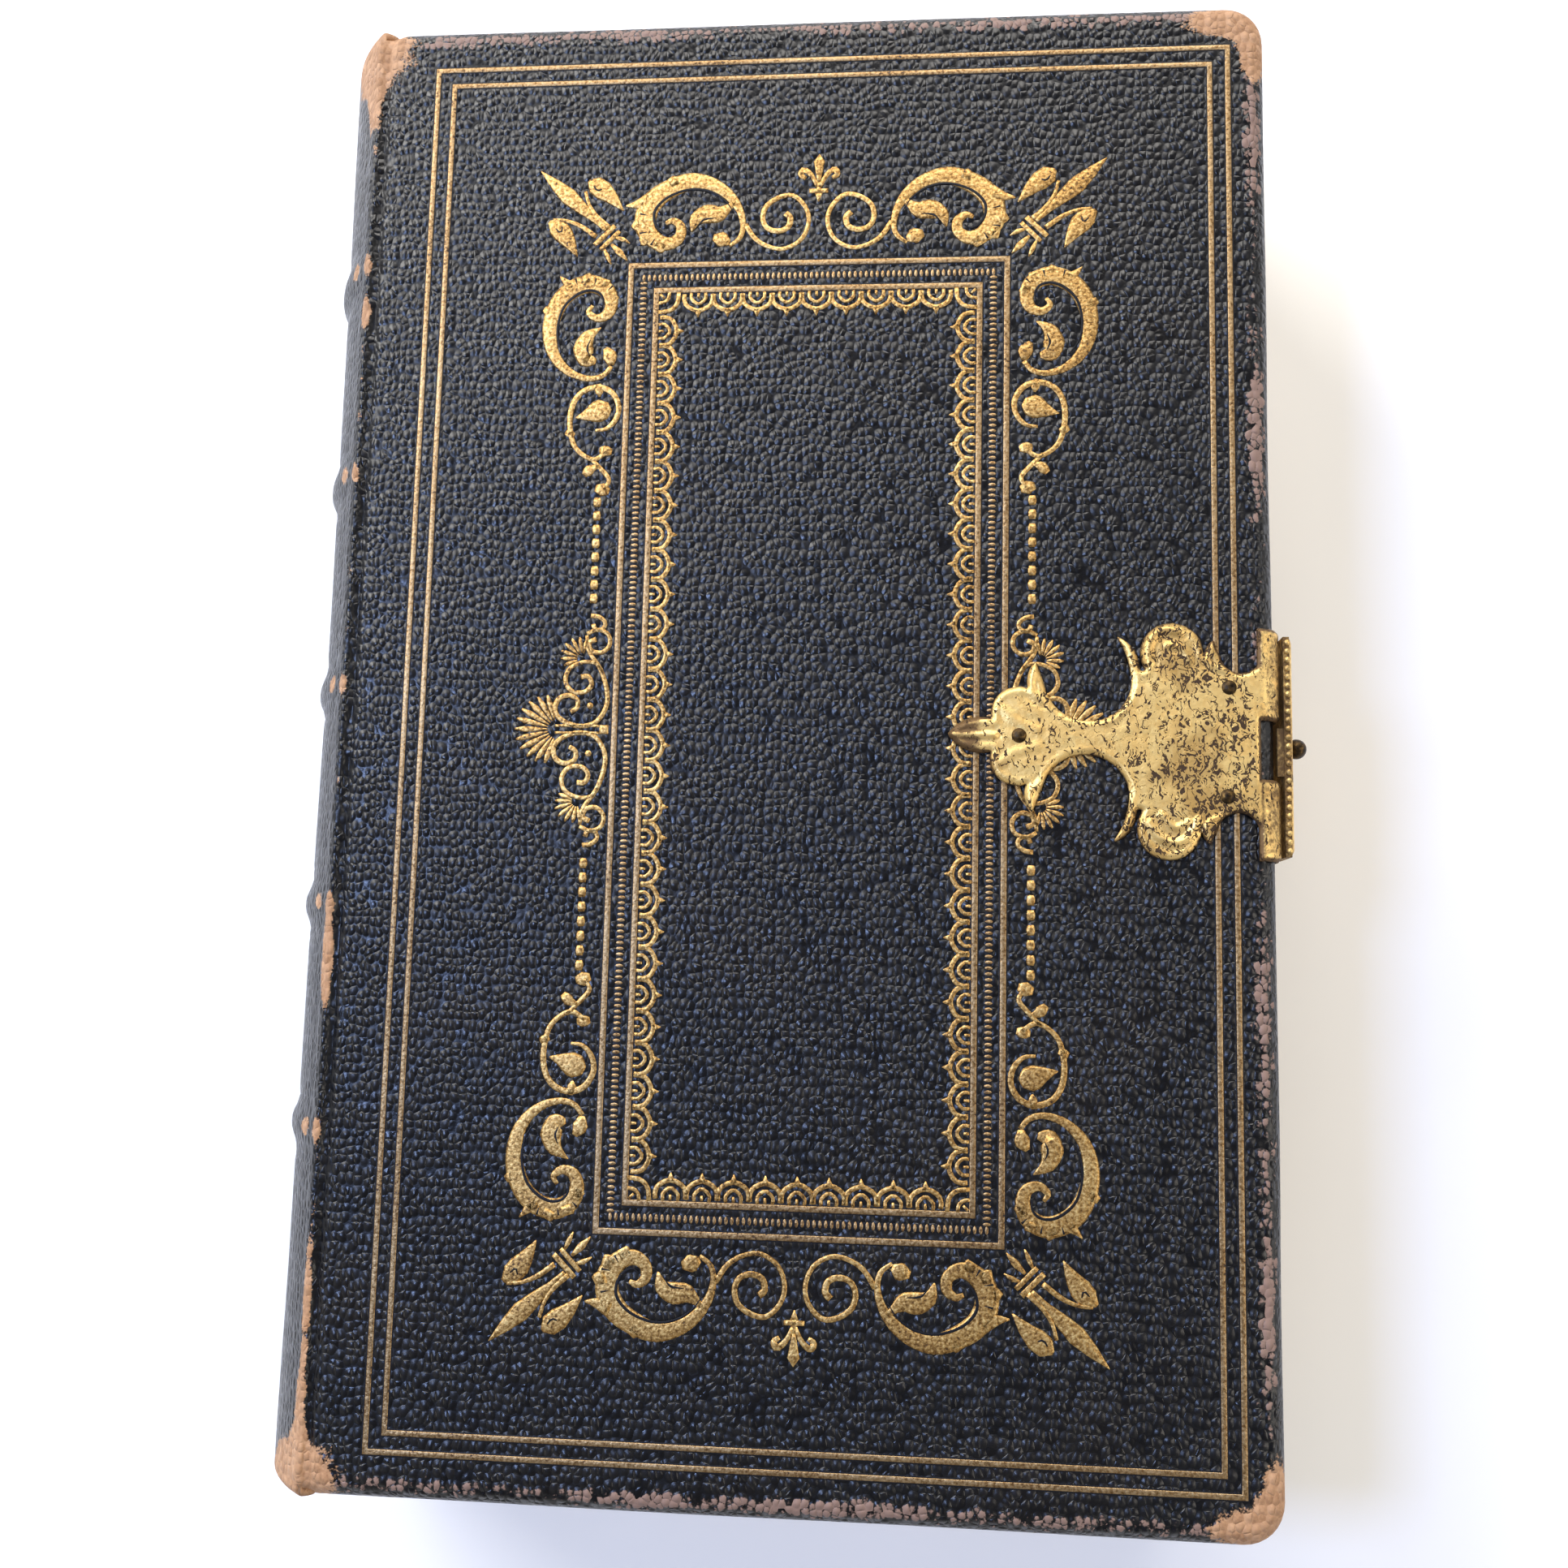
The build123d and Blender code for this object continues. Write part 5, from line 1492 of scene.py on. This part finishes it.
def front_plate():
    """The front plate as a relief sheet in (distance along the sheet, y): flat, then bent round the fore
    edge. Its relief is a rolled rim at the outline, a swelling belly, and raised ridges along the bites
    and curls."""
    sizes = bpy.context.scene.antique_book.sizes
    outline = plate_outline()
    bend_from, bend = front_high[0] - sizes.edge_round, BEND_RADIUS * np.pi / 2
    sheet_end = bend_from + bend + (front_high[2] - sizes.edge_round - plate_low[2])
    bar_low, bar_high = CLASP_Y - BAR_HALF, CLASP_Y + BAR_HALF

    def depth_at(p):
        x, y = p.T
        bar = np.minimum(np.minimum(x - BAR_START, sheet_end - x), np.minimum(y - bar_low, bar_high - y))
        notch = np.minimum(x - NOTCH_START, NOTCH_HALF - np.abs(y - NOTCH_Y))
        return np.minimum(np.maximum(outline_depth(p, outline), bar), -notch)

    ridges = [(through(line, 22), tall, wide) for line, tall, wide in PLATE_RIDGES]

    def height_at(p, depth):
        x, y = p.T
        height = 0.78 - 0.42 * np.exp(-((np.clip(depth, 0, None) / 0.3) ** 2))
        raised = 0.10 * np.exp(-(((depth - 0.8) / 0.4) ** 2))
        beside = np.zeros(len(p))
        for line, tall, wide in ridges:
            away = line_distance(p, line)
            raised = np.maximum(raised, tall * np.exp(-((away / wide) ** 2)))
            beside = np.maximum(beside, tall * np.exp(-(((away - 1.9 * wide) / (0.7 * wide)) ** 2)))
        beside = np.where(raised > 0.08, 0, beside)
        belly = 0.1 * smooth_step(depth, 0, 4)
        dents = 0.05 * waves(x, y, 51, 7.0) + 0.03 * waves(x, y, 52, 2.6)
        bar = smooth_step(x, 67.0, 68.2)  # from the worked part to the plain bar
        total = height + raised * (1 - 0.6 * bar) - 0.35 * beside + (belly + dents) * (1 - bar)
        leaf = 1 - smooth_step(x, 26.0, 30.6)  # the tongue at the tip
        rough_part = smooth_step(x, 58.5, 62.5) * (1 - smooth_step(x, 66.4, 68.2))  # beside the bar
        rim = np.exp(-((depth / 0.34) ** 2))
        drawn = 0.62 + 1.2 * (raised - 0.35 * beside) - 1.1 * leaf - 0.95 * rim - 0.42 * rough_part
        drawn -= 0.8 * smooth_step(x, 67.4, 68.4) + 0.2 * smooth_step(x, 71.0, 72.2)
        bent = smooth_step(x, 67, 68.4)
        pits = 0.52 + 0.1 * smooth_step(x, 44, 52) + 0.3 * rough_part - 0.3 * bent - 0.4 * leaf
        pits -= 0.12 * np.exp(-(((x - 33) / 4) ** 2))
        return total, drawn, pits

    def place(along, y, height):
        turn = np.clip((along - bend_from) / BEND_RADIUS, 0, np.pi / 2)
        past = np.clip(along - bend_from - bend, 0, None)
        radius = sizes.edge_round + height
        x = np.where(along <= bend_from, along, bend_from + radius * np.sin(turn))
        z = front_high[2] - sizes.edge_round + radius * np.cos(turn) - past
        return np.stack([x, y, z], -1)

    return relief_sheet((22.0, -21.0), (sheet_end, 16.6), sizes.plate_pitch, depth_at, height_at, place)


def arm_facing():
    """The stamped outer face of the clasp's arm, in (y, z): its waisted outline drawn in a little, with a
    rolled rim, a ridge down the middle and two curls under the knob."""
    sizes = bpy.context.scene.antique_book.sizes
    top, root = arm_high[2] - 0.15, 5.9
    low_z, high_z = 9.5, 40.2
    side = np.concatenate(
        [
            [(13.2, root)], arc_through((13.2, low_z), (7.3, (low_z + high_z) / 2), (16.2, high_z), 24),
            [(16.2, high_z), (16.2, top)],
        ]
    )
    outline = np.concatenate([side, side[::-1] * [-1, 1]]) + [CLASP_Y, 0]
    curls = [
        ((0, 43.2), (4.5, 41.5), (8.5, 42.8), (11, 45.2)),
        ((0, 38.5), (4.2, 36.2), (7.2, 38.2), (6.0, 40.6), (3.8, 40.0)), ((0, 12), (0, 24), (0, 36)),
        ((0, 15.5), (4, 12.5), (8.5, 12.8), (10.5, 10.0)), ((0, 20), (2.6, 23), (2.8, 27), (0, 30.5)),
    ]
    lines = [through(np.array(c) * [s, 1] + [CLASP_Y, 0], 20) for c in curls for s in (1, -1)]

    def depth_at(p):
        return outline_depth(p, outline)

    def height_at(p, depth):
        raised = 0.3 * np.exp(-(((depth - 0.9) / 0.45) ** 2))
        for line in lines:
            raised = np.maximum(raised, 0.34 * np.exp(-((line_distance(p, line) / 0.55) ** 2)))
        height = 0.28 - 0.18 * np.exp(-((np.clip(depth, 0, None) / 0.25) ** 2)) + raised
        height += 0.03 * waves(p[:, 0], p[:, 1], 61, 6.0)
        return height, 0.15 + 1.6 * raised, 0.25 + 0 * raised

    def place(y, z, height):
        return np.stack([ARM_FACE_X + height, y, z], -1)

    low, high = outline.min(0) - 0.2, outline.max(0) + 0.2
    return relief_sheet(low, high, sizes.plate_pitch * 1.5, depth_at, height_at, place)


def stamped_piece(name, sheet, finish_name, body):
    """A piece made of a stamped sheet, whose relief and pitting its brass reads."""
    points, faces, drawn, pits = sheet
    marks = {"relief": drawn, "pits": pits}
    return new_piece(name, points, faces, finish(finish_name), body, marks, weld=True)


class ANTIQUEBOOK_OT_front_plate(bpy.types.Operator):
    """Make the stamped brass plate on the front cover, bent round its fore edge"""

    bl_idname = "antique_book.front_plate"
    bl_label = "Clasp plate"

    def execute(self, context):
        plate = stamped_piece("stamped_front_plate", front_plate(), "brass", "front_cover")
        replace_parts(plate, "front_clasp_plate")
        return {"FINISHED"}


class ANTIQUEBOOK_OT_arm(bpy.types.Operator):
    """Make the stamped face of the clasp's arm and the beads along its top edge"""

    bl_idname = "antique_book.arm"
    bl_label = "Clasp arm"

    def execute(self, context):
        stamped_piece("arm_stamping", arm_facing(), "old_brass", "clasp_arm")
        number, bead_x, bead_pitch = np.arange(25), 72.85, 1.3
        places = np.stack([0 * number + bead_x, CLASP_Y + (number - 12) * bead_pitch], -1)
        places = places[np.abs(places[:, 1] - NOTCH_Y) > 0.2]
        points, quads = many_dots(places, 0.5)
        points = points * [1, 1, 0.42] + [0, 0, arm_high[2] + 0.05]
        none = np.zeros(len(points))
        stamped_piece("arm_beads", (points, quads, none + 0.2, none), "old_brass", "clasp_arm")
        return {"FINISHED"}


# ------------------------------------------------------------------ carried-over nodes and the studio
# the finish of each carried-over node, by the start of its name
NODE_FINISHES = {
    "front_free_endpaper": "paper",
    "rear_free_endpaper": "paper",
    "front_board": "board",
    "rear_board": "board",
    "rear_clasp_plate": "old_brass",
    "clasp_arm": "old_brass",
    "clasp_knob": "pin_brass",
    "clasp_hinge_pin": "pin_brass",
    "front_plate_pin": "pin_brass",
    "rear_plate_pin": "pin_brass",
    "sewing_cord": "cord",
    "spine_lining": "lining",
}


class ANTIQUEBOOK_OT_finishes(bpy.types.Operator):
    """Give every carried-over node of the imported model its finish"""

    bl_idname = "antique_book.finishes"
    bl_label = "Finishes of the packed parts"

    def execute(self, context):
        for start, finish_name in NODE_FINISHES.items():
            for name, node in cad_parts.items():
                if name.startswith(start):
                    node.data.materials.clear()
                    node.data.materials.append(finish(finish_name))
        return {"FINISHED"}


class ANTIQUEBOOK_OT_studio(bpy.types.Operator):
    """Make the pale floor, the soft lights and the camera"""

    bl_idname = "antique_book.studio"
    bl_label = "Studio"

    def execute(self, context):
        scene = context.scene
        reach, lines, floor_z = 9000.0, 41, -0.02
        steps = np.linspace(-1, 1, lines) * reach
        x, y = np.meshgrid(steps, steps, indexing="ij")
        points = np.stack([x, y, 0 * x + floor_z], -1).reshape(-1, 3)
        floor = new_piece("studio_floor", points, grid_faces(lines, lines), studio_floor())

        world = bpy.data.worlds.new("soft_daylight")
        world.use_nodes = True
        tree = world.node_tree
        way = add(tree, "TexCoord", {}, {}).outputs["Generated"]
        rise = add(tree, "SeparateXYZ", {}, {"Vector": way}).outputs["Z"]
        # brightest round the horizon, as from windows and pale walls, and dim overhead
        glow = add(tree, "MapRange", SOFTLY, {0: rise, 1: 0.1, 2: 0.85, 3: 0.78, 4: 0.13})
        background = tree.nodes["Background"]
        background.inputs["Color"].default_value = linear("#F9F8F6")
        tree.links.new(glow.outputs[0], background.inputs["Strength"])
        scene.world = world
        scene.view_settings.view_transform = "Standard"
        # lamps as (name, place, watts, width in metres, tint), all turned towards the book
        for name, place, power, size, tint in (
            ("window_glow", (-0.56, 0.10, 1.05), 7.5, 0.24, "#A8C3FF"),
            ("left_softbox", (-1.1, 0.95, 0.95), 26.0, 0.9, "#FFFDFA"),
            ("right_softbox", (1.3, -0.2, 1.0), 9.0, 0.9, "#FFF6EA"),
            ("head_softbox", (0.1, 1.4, 0.9), 19.0, 0.9, "#FFFAF4"),
        ):
            data = bpy.data.lights.new(name, "AREA")
            data.energy = power
            data.size = size
            data.color = linear(tint)[:3]
            lamp = bpy.data.objects.new(name, data)
            scene.collection.objects.link(lamp)
            lamp.location = place
            lamp.rotation_euler = (-lamp.location).to_track_quat("-Z", "Y").to_euler()

        data = bpy.data.cameras.new("camera")
        data.sensor_width = 36.0
        data.lens = 36.0
        data.clip_start = 0.01
        camera = bpy.data.objects.new("camera", data)
        scene.collection.objects.link(camera)
        right = (0.99567, 0.02342, -0.08992)
        up = (-0.01197, 0.99198, 0.12583)
        back = (0.09215, -0.12421, 0.98797)
        turned = Matrix([right, up, back]).transposed().to_4x4()
        stand = (0.01998, -0.03844, 0.28352)
        camera.matrix_world = Matrix.Translation(stand) @ turned
        scene.camera = camera
        return {"FINISHED"}


# ------------------------------------------------------------------ the add-on's panel and its parts
class AntiqueBook(bpy.types.PropertyGroup):
    """Everything a user can change on the book"""

    sizes: PointerProperty(name="Sizes", description="Sizes of the binding", type=BookSizes)
    colours: PointerProperty(name="Colours", description="Colours of the finishes", type=BookColours)


OPERATORS = (
    ANTIQUEBOOK_OT_finishes, ANTIQUEBOOK_OT_covers, ANTIQUEBOOK_OT_back, ANTIQUEBOOK_OT_joints,
    ANTIQUEBOOK_OT_leaves, ANTIQUEBOOK_OT_fillets, ANTIQUEBOOK_OT_panel, ANTIQUEBOOK_OT_scrolls,
    ANTIQUEBOOK_OT_front_plate, ANTIQUEBOOK_OT_arm, ANTIQUEBOOK_OT_studio,
)


class ANTIQUEBOOK_PT_panel(bpy.types.Panel):
    """Lists the book's parts, sizes and colours in the sidebar"""

    bl_idname = "ANTIQUEBOOK_PT_panel"
    bl_label = "Antique Book"
    bl_space_type = "VIEW_3D"
    bl_region_type = "UI"
    bl_category = "Antique Book"

    def draw(self, context):
        book = context.scene.antique_book
        for group in (book.sizes, book.colours):
            box = self.layout.box()
            for name in group.__annotations__:
                box.prop(group, name)
        for operator in OPERATORS:
            self.layout.operator(operator.bl_idname)


CLASSES = (BookSizes, BookColours, AntiqueBook, *OPERATORS, ANTIQUEBOOK_PT_panel)


def register():
    for cls in CLASSES:
        bpy.utils.register_class(cls)
    bpy.types.Scene.antique_book = PointerProperty(type=AntiqueBook)


def unregister():
    del bpy.types.Scene.antique_book
    for cls in reversed(CLASSES):
        bpy.utils.unregister_class(cls)


def main():
    """Registers the add-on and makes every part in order."""
    register()
    bpy.ops.antique_book.finishes()
    bpy.ops.antique_book.covers()
    bpy.ops.antique_book.back()
    bpy.ops.antique_book.joints()
    bpy.ops.antique_book.leaves()
    bpy.ops.antique_book.fillets()
    bpy.ops.antique_book.panel()
    bpy.ops.antique_book.scrolls()
    bpy.ops.antique_book.front_plate()
    bpy.ops.antique_book.arm()
    bpy.ops.antique_book.studio()


if __name__ == "__main__":
    main()
